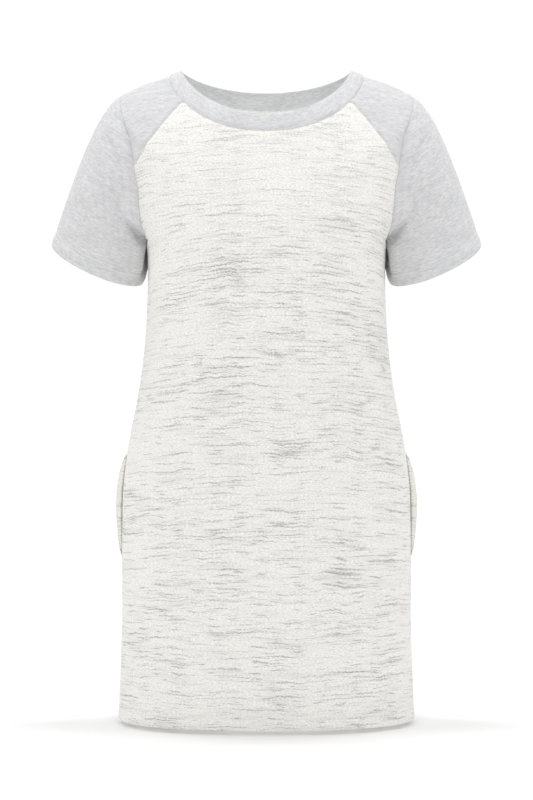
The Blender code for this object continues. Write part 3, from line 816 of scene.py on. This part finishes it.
def pinch_sleeve(outer, clear):
    """Close the sleeve's flanks in on the body beside the armpit, thin it out towards its
    inner end and set its keel back, nothing of it at the seam or the cuff."""
    x, y, z = np.moveaxis(outer.copy(), -1, 0)
    level = ramp(z, *PINCH_TOP) * ramp(z, *PINCH_END) * clear
    outer[..., 0] -= SLEEVE_TUCK * bell(np.abs(y), *TUCK_DEPTH) * ramp(x, *TUCK_ACROSS) * level
    outer[..., 1] *= 1 - SLEEVE_SQUASH * bell(x, *SQUASH_ACROSS) * ramp(z, *SQUASH_DOWN) * clear
    outer[..., 1] += KEEL_BACK * bell(x, *KEEL_ACROSS) * level


@lru_cache
def sleeve_surface():
    """Right sleeve's outer points and normals, with turn and height over the cuff's edge."""
    turn = np.linspace(0, 360, SLEEVE_COLUMNS)
    part, run = armhole(turn)
    sink = armpit_sink(run)
    start, end = body(part, run, -sink)[0], cuff_ring(turn)
    far = np.linalg.norm(end - start, axis=-1, keepdims=True)
    hem = np.array(NEAR_HEM, float)[::-1, None]
    upper = graded(SLEEVE_LENGTH, near_start=NEAR_SEAM)[:-1, None] / SLEEVE_LENGTH
    s = np.concatenate([upper * (1 - hem[0, 0] / far.T), 1 - hem / far.T])
    outer = sleeve_columns(turn, sink, start, end, far, s)
    pinch_sleeve(outer, ramp(s * far.T, 0, PINCH_CLEAR))
    turns = np.repeat(turn[None, :], len(s), axis=0)
    from_seam = arc(outer)
    height = from_seam[-1] - from_seam
    normals = grid_normals(outer)
    raised = seam_relief(from_seam, ARMHOLE_VALLEY) + hem_relief(height) - sleeve_dent(
        outer, normals, turns, s, from_seam)
    outer = outer + normals * raised[..., None]
    outer[0] += shift_from(outer[0], outer[2])
    return outer, grid_normals(outer), turns, height


def sleeve(label, side):
    """Sleeve from the armhole seam to the cuff ring, with the folds of its cap and a hem."""
    outer, normals, turns, height = sleeve_surface()
    thickness = hem_thickness(height)
    grain = np.stack([turns / 360 * arc(outer[-1])[-1], 300 - height], axis=-1)
    mirror = [side, 1, 1]
    node = f"sleeve_{label}"
    piece = add_wall(node, outer * mirror, normals * mirror, thickness, grain, marl_knit(),
                     closed=True, inset=edge_inset(height, thickness))
    finish_piece(piece, node)


# Neckband

def band_top(part):
    """Top edge of the neckband at parts of its quarter ring."""
    ring = {name: np.full(part.size, float(value))
            for name, value in zip(RING_COLUMNS, BAND_TOP)}
    points = ring_points(lambda end: quarter_curves(ring, end), np.arange(part.size),
                         np.abs(part))
    return points * mirror_of(part)


def neckband():
    """Doubled band standing up from the neck seam: its section runs up the outside, round the
    folded top and down the inside."""
    quarter = np.linspace(0, 1, BAND_QUARTER)
    half = np.concatenate([quarter, 1 + quarter[1:]])
    part = np.concatenate([half, -half[::-1][1:]])
    seam, seam_normal = body(part, np.zeros(part.size))
    top = band_top(part)
    along = np.gradient(top, axis=0)
    along[[0, -1]] = [1, 0, 0]
    up = top - seam
    tall = np.linalg.norm(up, axis=-1, keepdims=True)
    normal = facing_out(unit(np.cross(-up, along)), top)
    radius = in_mm("band_cloth") / 2
    heights = graded(BAND_HEIGHT, NEAR_SEAM)[:-1, None, None]
    lift = heights / BAND_HEIGHT * (1 - radius / tall)
    blend = unit(seam_normal + (normal - seam_normal) * soft_step(lift * 2))
    middle = seam + up * lift + normal * (np.sin(np.pi * lift) * BAND_BOW) - blend * radius
    outside = middle + blend * (radius + seam_relief(heights))
    inside = middle - blend * radius
    centre = seam + up * (1 - radius / tall) - normal * radius
    bend = np.linspace(0, np.pi, 9)[:, None, None]
    fold = centre + normal * radius * np.cos(bend) + up / tall * radius * np.sin(bend)
    section = np.concatenate([outside, fold, inside[::-1]])
    section[0] += up / tall * in_mm("seam_gap") / 2
    band_piece(section)


def band_piece(section):
    """The band's mesh, closed along the neck and round its section."""
    ring = section[:, :-1]
    rows, columns = ring.shape[:2]
    numbers = np.pad(np.arange(rows * columns).reshape(rows, columns), (0, 1), mode="wrap")
    faces = quads(numbers.T)
    corners = quads(np.arange(numbers.size).reshape(numbers.shape).T)
    normal = np.cross(ring[1, 0] - ring[0, 0], ring[0, 1] - ring[0, 0])
    if normal @ (ring[0, 0] * [1, 1, 0]) < 0:
        faces, corners = faces[:, ::-1], corners[:, ::-1]
    round_mm, down_mm = arc(section[rows // 2]), arc(section[:, 0])
    down_mm = np.append(down_mm, down_mm[-1] + in_mm("band_cloth"))
    uv = np.stack(np.broadcast_arrays(round_mm, down_mm[:, None]), axis=-1).reshape(-1, 2) * MM
    piece = new_mesh("neckband_cloth", ring.reshape(-1, 3) * MM, faces, uv[corners.ravel()],
                     marl_knit())
    finish_piece(piece, "neckband")


# Pockets

def bag_chart():
    """Rows of a bag: its part of the way down, run, and mouth edge and far edge from the side;
    then the places of its columns between the two."""
    run = np.linspace(BAG_TOP_RUN, BAG_END_RUN, BAG_ROWS)[:, None]
    q = (run - run[0]) / (run[-1] - run[0])
    round_end = (1 - np.abs(2 * q - 1) ** 2.6) ** 0.5
    reach = BAG_NARROW + (BAG_REACH - BAG_NARROW) * round_end
    mouth = MOUTH_OPEN * mouth_shape(run)
    start = mouth + BAG_START
    share = np.linspace(0, 1, BAG_COLUMNS)[None, :]
    return q, run, mouth, reach, share, start + (reach - start) * share


def bag_piece(cut, label, side, part, run, raised, forward):
    """One layer of a pocket from its chart."""
    node = f"{cut}_{label}"
    points, normals = body(part * side, run, raised)
    grain = np.stack([forward, -points[..., 2]], axis=-1)
    piece = add_wall(node, points, normals, in_mm("bag_cloth"), grain, slub_knit("pocket_jersey"))
    finish_piece(piece, node)


def pocket_front_bag(label, side):
    """Layer sewn behind the front edge of the opening."""
    _, run, *_, forward = bag_chart()
    part = 1 - forward / quarter_length(run)
    raised = MOUTH_FRONT_OUT * beside_mouth(part, run) - in_mm("cloth") - BAG_CLEAR
    bag_piece("pocket_front_bag", label, side, part, run, raised, forward)


def pocket_back_bag(label, side):
    """Layer from behind the back edge, across the opening's gap, into the pocket."""
    q, run, mouth, reach, share, forward = bag_chart()
    place, ahead, fall = np.array(FACING).T
    t = np.linspace(0, 1, LAP_COLUMNS)[None, :]
    lap = np.interp(t, place, ahead)
    lap = np.where(lap < 0, lap * BAG_LAP, lap * np.maximum(mouth, MOUTH_LEAST))
    forward = np.concatenate([lap, forward], axis=1)
    part = 1 - forward / quarter_length(run)
    near, open_here = beside_mouth(part, run), mouth_shape(run)
    front_out, cloth, gap = MOUTH_FRONT_OUT * near, in_mm("cloth"), in_mm("seam_gap")
    under_back = (MOUTH_BACK_OUT * near - cloth - gap
                  - (BAG_CLEAR - gap) * (1 - open_here) ** 3)
    beside_front = np.minimum(under_back, front_out + FACING_LIP * open_here ** 0.4
                              - 0.3 * (1 - open_here))
    hollow = np.sin(np.pi * q) ** 0.8 * np.concatenate(
        [np.zeros((1, LAP_COLUMNS)), np.sin(np.pi * share ** 0.7)], axis=1)
    inside = (front_out - cloth - BAG_CLEAR - in_mm("bag_cloth") - BAG_GAP
              - MOUTH_GAP * open_here * np.clip(1 - forward / reach, 0, 1) - BAG_SLACK * hollow)
    drop = np.concatenate([np.interp(t, place, fall), np.full(share.shape, 2.0)], axis=1)
    raised = np.where(drop < 1, under_back + (beside_front - under_back) * drop,
                      beside_front + (inside - beside_front) * (drop - 1))
    bag_piece("pocket_back_bag", label, side, part, run, raised, forward)


# Stitches

BEAD_RINGS = 5
BEAD_SIDES = 6
BEAD_CAPS = ((0, 1, 2, 3), (0, 3, 4, 5), (27, 26, 25, 24), (29, 28, 27, 24))
BEAD_ROUND = 1.04
BEAD_OUT = 0.35


def stitch_row(name, path, normals, material, slot):
    """Row of short raised stitches along a closed path: each is a slim rounded bead laid along
    the path, its radius a half ellipse of the place along it."""
    path, normals = (np.concatenate([line, line[:1]]) for line in (path, normals))
    along = arc(path)
    count = int(along[-1] / in_mm("stitch_pitch"))
    place = (np.arange(count) + 0.5) * along[-1] / count
    ends = np.linspace(-1, 1, BEAD_RINGS)
    spots = (place[:, None] + ends[None, :] * (in_mm("stitch") / 2)) % along[-1]
    centre = np.stack([np.interp(spots, along, path[:, k]) for k in range(3)], axis=-1)
    out = unit(np.stack([np.interp(place, along, normals[:, k]) for k in range(3)], axis=-1))
    across = np.cross(out, unit(centre[:, -1] - centre[:, 0]))[:, None, None]
    out = out[:, None, None]
    angle = np.linspace(0, 2 * np.pi, BEAD_SIDES, endpoint=False)[:, None]
    radius = in_mm("thread") * np.sqrt(np.clip(BEAD_ROUND - ends ** 2, 0, 1))[:, None, None]
    points = (centre[:, :, None] + (np.cos(angle) * across + np.sin(angle) * out) * radius
              + out * in_mm("thread") * BEAD_OUT)
    size = BEAD_RINGS * BEAD_SIDES
    numbers = np.arange(size).reshape(BEAD_RINGS, BEAD_SIDES)
    tube = quads(np.concatenate([numbers, numbers[:, :1]], axis=1).T)
    bead = np.concatenate([tube, BEAD_CAPS])
    faces = (bead[None] + (np.arange(count) * size)[:, None, None]).reshape(-1, 4)
    piece = new_mesh(name, points.reshape(-1, 3) * MM, faces, np.zeros((faces.size, 2)), material)
    finish_piece(piece, None)


def hem_path(height):
    """Points and normals round the dress at a height over the hem's edge, on the outside."""
    spread = np.linspace(0, 1, 120)
    part = np.concatenate([spread, 1 + spread[1:], -(2 - spread[1:]), -(1 - spread[1:-1])])
    return body(part, HEM_RUN - height, hem_relief(height))


def cuff_path(height, side):
    """Points and normals round a sleeve at a height over the cuff's edge, on the outside."""
    outer, normals, turns, over = sleeve_surface()
    low = (over > height).sum(axis=0) - 1
    column = np.arange(over.shape[1])
    t = ((over[low, column] - height) / (over[low, column] - over[low + 1, column]))[:, None]
    points = outer[low, column] * (1 - t) + outer[low + 1, column] * t
    mirror = np.array([side, 1, 1])
    return (points * mirror)[:-1], (normals[low, column] * mirror)[:-1]


def stitching():
    """Two needle lines round the hem and round each cuff."""
    gap = in_mm("needle_gap") / 2
    for row, height in (("low", in_mm("hem") - gap), ("high", in_mm("hem") + gap)):
        stitch_row(f"hem_stitches_{row}", *hem_path(height), thread("hem"), "slub_knit")
        for label, side in SIDES:
            stitch_row(f"cuff_stitches_{label}_{row}", *cuff_path(height, side),
                       thread("cuff"), "marl_knit")


# Materials

def node_tree(name):
    """New material, a helper that adds and links nodes, and one that sets or links the inputs
    of its Principled shader."""
    material = bpy.data.materials.new(name)
    material.use_nodes = True
    tree = material.node_tree
    shader = tree.nodes["Principled BSDF"].inputs

    def put(kind, inputs=None, **settings):
        node = tree.nodes.new(kind)
        for key, value in settings.items():
            setattr(node, key, value)
        fill(node.inputs, inputs or {})
        return node

    def fill(sockets, values):
        for key, value in values.items():
            if isinstance(value, bpy.types.NodeSocket):
                tree.links.new(value, sockets[key])
            else:
                sockets[key].default_value = value

    return material, put, lambda values: fill(shader, values)


def cloth_noise(put, grain, scale, shift, detail=1.0, roughness=0.5):
    """Noise stretched along the grain; scale is how many lumps a metre across and down."""
    place = put("ShaderNodeVectorMath", {0: grain, 1: (*scale, 1.0), 2: (*shift, 0.0)},
                operation="MULTIPLY_ADD").outputs[0]
    return put("ShaderNodeTexNoise", {"Vector": place, "Scale": 1.0, "Detail": detail,
                                      "Roughness": roughness},
               noise_dimensions="2D").outputs["Fac"]


def ranged(put, value, low, high, to_low=0.0, to_high=1.0):
    """Value taken from one range to another, kept inside it, smoothly."""
    return put("ShaderNodeMapRange", {"Value": value, "From Min": low, "From Max": high,
                                      "To Min": to_low, "To Max": to_high},
               interpolation_type="SMOOTHSTEP").outputs["Result"]


def maths(put, operation, a, b=0.0, c=0.0):
    """One arithmetic node."""
    return put("ShaderNodeMath", {0: a, 1: b, 2: c}, operation=operation).outputs[0]


def scaled(put, tint, factor):
    """Colour made brighter or darker."""
    return put("ShaderNodeVectorMath", {0: tint, "Scale": factor}, operation="SCALE").outputs[0]


def mixed(put, factor, first, second):
    """Colour between two colours."""
    return put("ShaderNodeMix", {0: factor, 6: (*first, 1), 7: (*second, 1)},
               data_type="RGBA").outputs[2]


def wavy_grain(put, wander=1.0):
    """UV grain with the courses wandering a little up and down, slowly and quickly."""
    grain = put("ShaderNodeUVMap", uv_map="cloth").outputs["UV"]
    slow = cloth_noise(put, grain, (14, 5), (3.1, 7.7), 2.0)
    quick = cloth_noise(put, grain, (120, 16), (6.4, 1.2))
    crimp = cloth_noise(put, grain, (430, 45), (9.3, 4.6))
    lift = maths(put, "MULTIPLY_ADD", slow, 0.010 * wander, -0.005 * wander)
    lift = maths(put, "MULTIPLY_ADD", quick, 0.0024 * wander, lift)
    lift = maths(put, "MULTIPLY_ADD", crimp, 0.0020 * wander, lift)
    offset = put("ShaderNodeCombineXYZ", {"Y": lift}).outputs[0]
    return put("ShaderNodeVectorMath", {0: grain, 1: offset}, operation="ADD").outputs[0]


def slub_knit(name="slub_jersey"):
    """Off-white knit with broken grey slubs: long thin noise cut into dots, thicker in loose
    patches, with a soft painted shadow round them, over a fine striped ground. The pockets' own
    jersey is creamier with fewer slubs."""
    if name in bpy.data.materials:
        return bpy.data.materials[name]
    colours = bpy.context.scene.dress_colours
    material, put, shade_with = node_tree(name)
    grain = wavy_grain(put)
    patches = cloth_noise(put, grain, (7, 15), (4.7, 6.2), 2.0)
    lean = maths(put, "MULTIPLY_ADD", patches, 0.20, -0.10)
    long_slub = maths(put, "ADD", cloth_noise(put, grain, (13, 420), (5.2, 1.7), 1.5), lean)
    short_slub = maths(put, "ADD", cloth_noise(put, grain, (38, 540), (8.9, 4.1)), lean)
    dots = ranged(put, cloth_noise(put, grain, (380, 560), (2.3, 9.1)), 0.25, 0.60, 0.2, 1.0)
    marks = maths(put, "MAXIMUM", ranged(put, long_slub, 0.58, 0.78),
                  ranged(put, short_slub, 0.60, 0.80))
    marks = maths(put, "MULTIPLY", marks, dots)
    fine = cloth_noise(put, grain, (330, 640), (6.6, 3.3), 2.0, 0.7)
    # Painted shadow: a soft grey cloud over the slub patches, darkening the ground where raised
    # slubs would shade it
    clouds = cloth_noise(put, grain, (14, 130), (5.2, 1.7), 2.0)
    painted_slub_shadow = ranged(put, maths(put, "ADD", clouds, lean), 0.45, 0.80, 0.0, 0.10)
    # Slub marks weaker towards the neck: 0.42 of full strength 0.10 m down the grain, rising to
    # 0.68 from 0.34 m down
    down = put("ShaderNodeSeparateXYZ", {0: grain}).outputs["Y"]
    strength = ranged(put, down, 0.10, 0.34, 0.42, 0.68)
    shade = maths(put, "MULTIPLY_ADD", marks, strength, painted_slub_shadow)
    ground = colours.slub_ground
    if name == "pocket_jersey":
        shade = maths(put, "MULTIPLY", shade, 0.7)
        ground = colours.pocket_ground
    tint = mixed(put, shade, ground, colours.slub_streak)
    shade_with({"Base Color": scaled(put, tint, ranged(put, fine, 0.25, 0.75, 0.84, 1.11))})
    shade_with(knit_surface(put, grain, maths(put, "MULTIPLY_ADD", marks, 0.5, fine)))
    return material


def marl_knit():
    """Fine grey marl: light and dark fibres mixed in short dashes, clouded a little."""
    name = "marl_jersey"
    if name in bpy.data.materials:
        return bpy.data.materials[name]
    colours = bpy.context.scene.dress_colours
    material, put, shade_with = node_tree(name)
    grain = wavy_grain(put, 0.4)
    dashes = cloth_noise(put, grain, (130, 680), (4.4, 8.1), 3.0, 0.7)
    clouds = cloth_noise(put, grain, (30, 160), (7.3, 5.5), 2.0)
    blend = maths(put, "MULTIPLY_ADD", clouds, 0.25, maths(put, "MULTIPLY", dashes, 0.75))
    share = ranged(put, blend, 0.30, 0.70)
    shade_with({"Base Color": mixed(put, share, colours.marl_dark, colours.marl_light)})
    shade_with(knit_surface(put, grain, dashes))
    return material


def knit_surface(put, grain, height):
    """Shader values of a knit: its loops as bump, a matt surface and a little sheen."""
    loops = put("ShaderNodeTexWave", {"Vector": grain, "Scale": 150.0, "Distortion": 2.0,
                                      "Detail": 1.0, "Detail Scale": 4.0},
                bands_direction="Y").outputs["Fac"]
    total = maths(put, "ADD", height, maths(put, "MULTIPLY", loops, 0.25))
    bump = put("ShaderNodeBump", {"Strength": 0.35, "Distance": 0.0006, "Height": total})
    return {"Normal": bump.outputs["Normal"], "Roughness": 0.92, "Specular IOR Level": 0.25,
            "Sheen Weight": 0.25, "Sheen Roughness": 0.6}


def object_noise(put, scale, detail):
    """Plain noise laid out by the object's own coordinates."""
    return put("ShaderNodeTexNoise", {"Scale": scale, "Detail": detail, "Vector": put(
        "ShaderNodeTexCoord").outputs["Object"]}).outputs["Fac"]


def thread(place):
    """Sewing thread of the hem or the cuffs: pale, with a fine twist across it."""
    name = f"{place}_thread"
    if name in bpy.data.materials:
        return bpy.data.materials[name]
    material, put, shade_with = node_tree(name)
    twist = ranged(put, object_noise(put, 1400.0, 1.0), 0.3, 0.7, 0.9, 1.04)
    tint = tuple(getattr(bpy.context.scene.dress_colours, name))
    shade_with({"Base Color": scaled(put, tint, twist), "Roughness": 0.7})
    return material


def backdrop_paper():
    """Plain pale paper with a faint tooth."""
    material, put, shade_with = node_tree("backdrop_paper")
    bump = put("ShaderNodeBump", {"Strength": 0.05, "Distance": 0.0004,
                                  "Height": object_noise(put, 260.0, 2.0)})
    shade_with({"Base Color": (*bpy.context.scene.dress_colours.backdrop, 1), "Roughness": 0.9,
                "Normal": bump.outputs["Normal"]})
    return material


# Stage

FLOOR_HEIGHT = -868
WALL_BEND = 1200
WALL_BEHIND = 1500
WALL_HEIGHT = 3200
FLOOR_FRONT = -5200
FLOOR_HALF = 4200
CAMERA_FAR = 2550
CAMERA_HEIGHT = -438
VIEW_HEIGHT = 1069.6
SENSOR_HEIGHT = 24
SURROUNDINGS = 0.42
# Lights in metres and watts: name, place, aim, size, power and colour
WHITE = (1, 1, 1)
MIDDLE = (0, 0, -0.43)
LIGHTS = (
    ("front_light", (0, -1.6, 1.3), (0, 0, 0), (1.5, 0.9), 20, WHITE),
    ("side_light_left", (-2.2, -0.75, -0.1), MIDDLE, (1.0, 1.6), 10, WHITE),
    ("side_light_right", (2.2, -0.75, -0.1), MIDDLE, (1.0, 1.6), 9, WHITE),
    ("top_light", (0, 0.12, 3.2), MIDDLE, (0.9, 0.45), 28, WHITE),
    ("backdrop_light_left", (-1.6, 0.9, 2.4), (-0.5, 2.6, -0.2), (1.8, 0.8), 20, WHITE),
    ("backdrop_light_right", (1.6, 0.9, 2.4), (0.5, 2.6, -0.2), (1.8, 0.8), 20, WHITE),
    ("inside_light", (0, -0.01, -0.36), (0, 0.07, -0.03), (0.14, 0.08), 0.32, (0.94, 0.97, 1)),
    ("hem_light", (0, -0.01, -0.40), (0, 0, -0.87), (0.2, 0.1), 0.25, WHITE),
)


def backdrop():
    """Floor that curves up into a wall: a profile of floor, quarter circle and wall, carried
    sideways."""
    bend = np.linspace(0, np.pi / 2, 24)
    y = np.concatenate([np.linspace(FLOOR_FRONT, WALL_BEHIND, 12)[:-1],
                        WALL_BEHIND + WALL_BEND * np.sin(bend),
                        np.full(6, WALL_BEHIND + WALL_BEND)])
    z = np.concatenate([np.zeros(11), WALL_BEND * (1 - np.cos(bend)),
                        np.linspace(WALL_BEND, WALL_HEIGHT, 7)[1:]]) + FLOOR_HEIGHT
    x = np.linspace(-FLOOR_HALF, FLOOR_HALF, 13)
    grid = np.stack(np.broadcast_arrays(x[None, :], y[:, None], z[:, None]), axis=-1) * MM
    faces = quads(np.arange(y.size * x.size).reshape(y.size, x.size))
    flat = grid.reshape(-1, 3)
    new_mesh("backdrop", flat, faces, flat[faces.ravel(), :2], backdrop_paper())


def stand(name, data, place, aim):
    """Add a light or camera at a place, its -Z axis turned to the aim and its Y axis up."""
    thing = bpy.data.objects.new(name, data)
    bpy.context.scene.collection.objects.link(thing)
    back = unit(np.array(place, float) - aim)
    right = unit(np.cross([0, 0, 1], back))
    matrix = np.eye(4)
    matrix[:3] = np.stack([right, np.cross(back, right), back, place], axis=1)
    thing.matrix_world = Matrix(matrix.tolist())
    return thing


def area_light(name, place, aim, size, power, tint):
    """Soft box of one size at a place, turned to its aim and unseen itself."""
    data = bpy.data.lights.new(name, "AREA")
    data.shape = "RECTANGLE"
    data.size, data.size_y = size
    data.energy = power
    data.color = tint
    stand(name, data, place, aim).visible_camera = False


def studio():
    """Backdrop, soft light from the front, both sides and above and on the backdrop, a little
    inside the neck and the hem, pale surroundings and the camera."""
    backdrop()
    for row in LIGHTS:
        area_light(*row)
    scene = bpy.context.scene
    scene.world = bpy.data.worlds.new("studio")
    scene.world.use_nodes = True
    background = scene.world.node_tree.nodes["Background"].inputs
    background["Color"].default_value = (1, 1, 1, 1)
    background["Strength"].default_value = SURROUNDINGS
    scene.view_settings.view_transform = "Standard"
    data = bpy.data.cameras.new("camera")
    data.sensor_fit = "VERTICAL"
    data.sensor_height = SENSOR_HEIGHT
    data.lens = SENSOR_HEIGHT * CAMERA_FAR / VIEW_HEIGHT
    scene.camera = stand("camera", data, (0, -CAMERA_FAR * MM, CAMERA_HEIGHT * MM),
                         (0, 0, CAMERA_HEIGHT * MM))


# Operators

class DRESS_OT_front_panel(bpy.types.Operator):
    """Make the front panel"""
    bl_idname = "dress.front_panel"
    bl_label = "Front panel"

    def execute(self, context):
        front_panel()
        return {"FINISHED"}


class DRESS_OT_back_panel(bpy.types.Operator):
    """Make the back panel"""
    bl_idname = "dress.back_panel"
    bl_label = "Back panel"

    def execute(self, context):
        back_panel()
        return {"FINISHED"}


class DRESS_OT_shoulder_yokes(bpy.types.Operator):
    """Make both shoulder yokes"""
    bl_idname = "dress.shoulder_yokes"
    bl_label = "Shoulder yokes"

    def execute(self, context):
        for label, side in SIDES:
            yoke(label, side)
        return {"FINISHED"}


class DRESS_OT_sleeves(bpy.types.Operator):
    """Make both sleeves"""
    bl_idname = "dress.sleeves"
    bl_label = "Sleeves"

    def execute(self, context):
        sleeve_surface.cache_clear()
        for label, side in SIDES:
            sleeve(label, side)
        return {"FINISHED"}


class DRESS_OT_neckband(bpy.types.Operator):
    """Make the neckband"""
    bl_idname = "dress.neckband"
    bl_label = "Neckband"

    def execute(self, context):
        neckband()
        return {"FINISHED"}


class DRESS_OT_pockets(bpy.types.Operator):
    """Make the layers of both pockets"""
    bl_idname = "dress.pockets"
    bl_label = "Pockets"

    def execute(self, context):
        for label, side in SIDES:
            pocket_front_bag(label, side)
            pocket_back_bag(label, side)
        return {"FINISHED"}


class DRESS_OT_stitching(bpy.types.Operator):
    """Sew the needle lines of the hem and the cuffs"""
    bl_idname = "dress.stitching"
    bl_label = "Stitching"

    def execute(self, context):
        stitching()
        return {"FINISHED"}


class DRESS_OT_studio(bpy.types.Operator):
    """Set up backdrop, lights and camera"""
    bl_idname = "dress.studio"
    bl_label = "Studio"

    def execute(self, context):
        studio()
        return {"FINISHED"}


class DRESS_PT_panel(bpy.types.Panel):
    """Sizes, colours and steps of the dress"""
    bl_idname = "DRESS_PT_panel"
    bl_label = "T-shirt dress"
    bl_space_type = "VIEW_3D"
    bl_region_type = "UI"
    bl_category = "Dress"

    def draw(self, context):
        for group in (context.scene.dress_sizes, context.scene.dress_colours):
            box = self.layout.box()
            for name in group.__annotations__:
                box.prop(group, name)
        for step in STEPS:
            self.layout.operator(step.bl_idname)


STEPS = (DRESS_OT_front_panel, DRESS_OT_back_panel, DRESS_OT_shoulder_yokes, DRESS_OT_sleeves,
         DRESS_OT_neckband, DRESS_OT_pockets, DRESS_OT_stitching, DRESS_OT_studio)
CLASSES = (DressSizes, DressColours, *STEPS, DRESS_PT_panel)


def register():
    """Register the classes and hang the settings on the scene."""
    for item in CLASSES:
        bpy.utils.register_class(item)
    bpy.types.Scene.dress_sizes = PointerProperty(type=DressSizes)
    bpy.types.Scene.dress_colours = PointerProperty(type=DressColours)


def unregister():
    """Take the settings and classes away again."""
    del bpy.types.Scene.dress_colours
    del bpy.types.Scene.dress_sizes
    for item in reversed(CLASSES):
        bpy.utils.unregister_class(item)


def main():
    """Register, make every piece in order and keep the sizes."""
    register()
    bpy.ops.dress.front_panel()
    bpy.ops.dress.back_panel()
    bpy.ops.dress.shoulder_yokes()
    bpy.ops.dress.sleeves()
    bpy.ops.dress.neckband()
    bpy.ops.dress.pockets()
    bpy.ops.dress.stitching()
    bpy.ops.dress.studio()


if __name__ == "__main__":
    main()
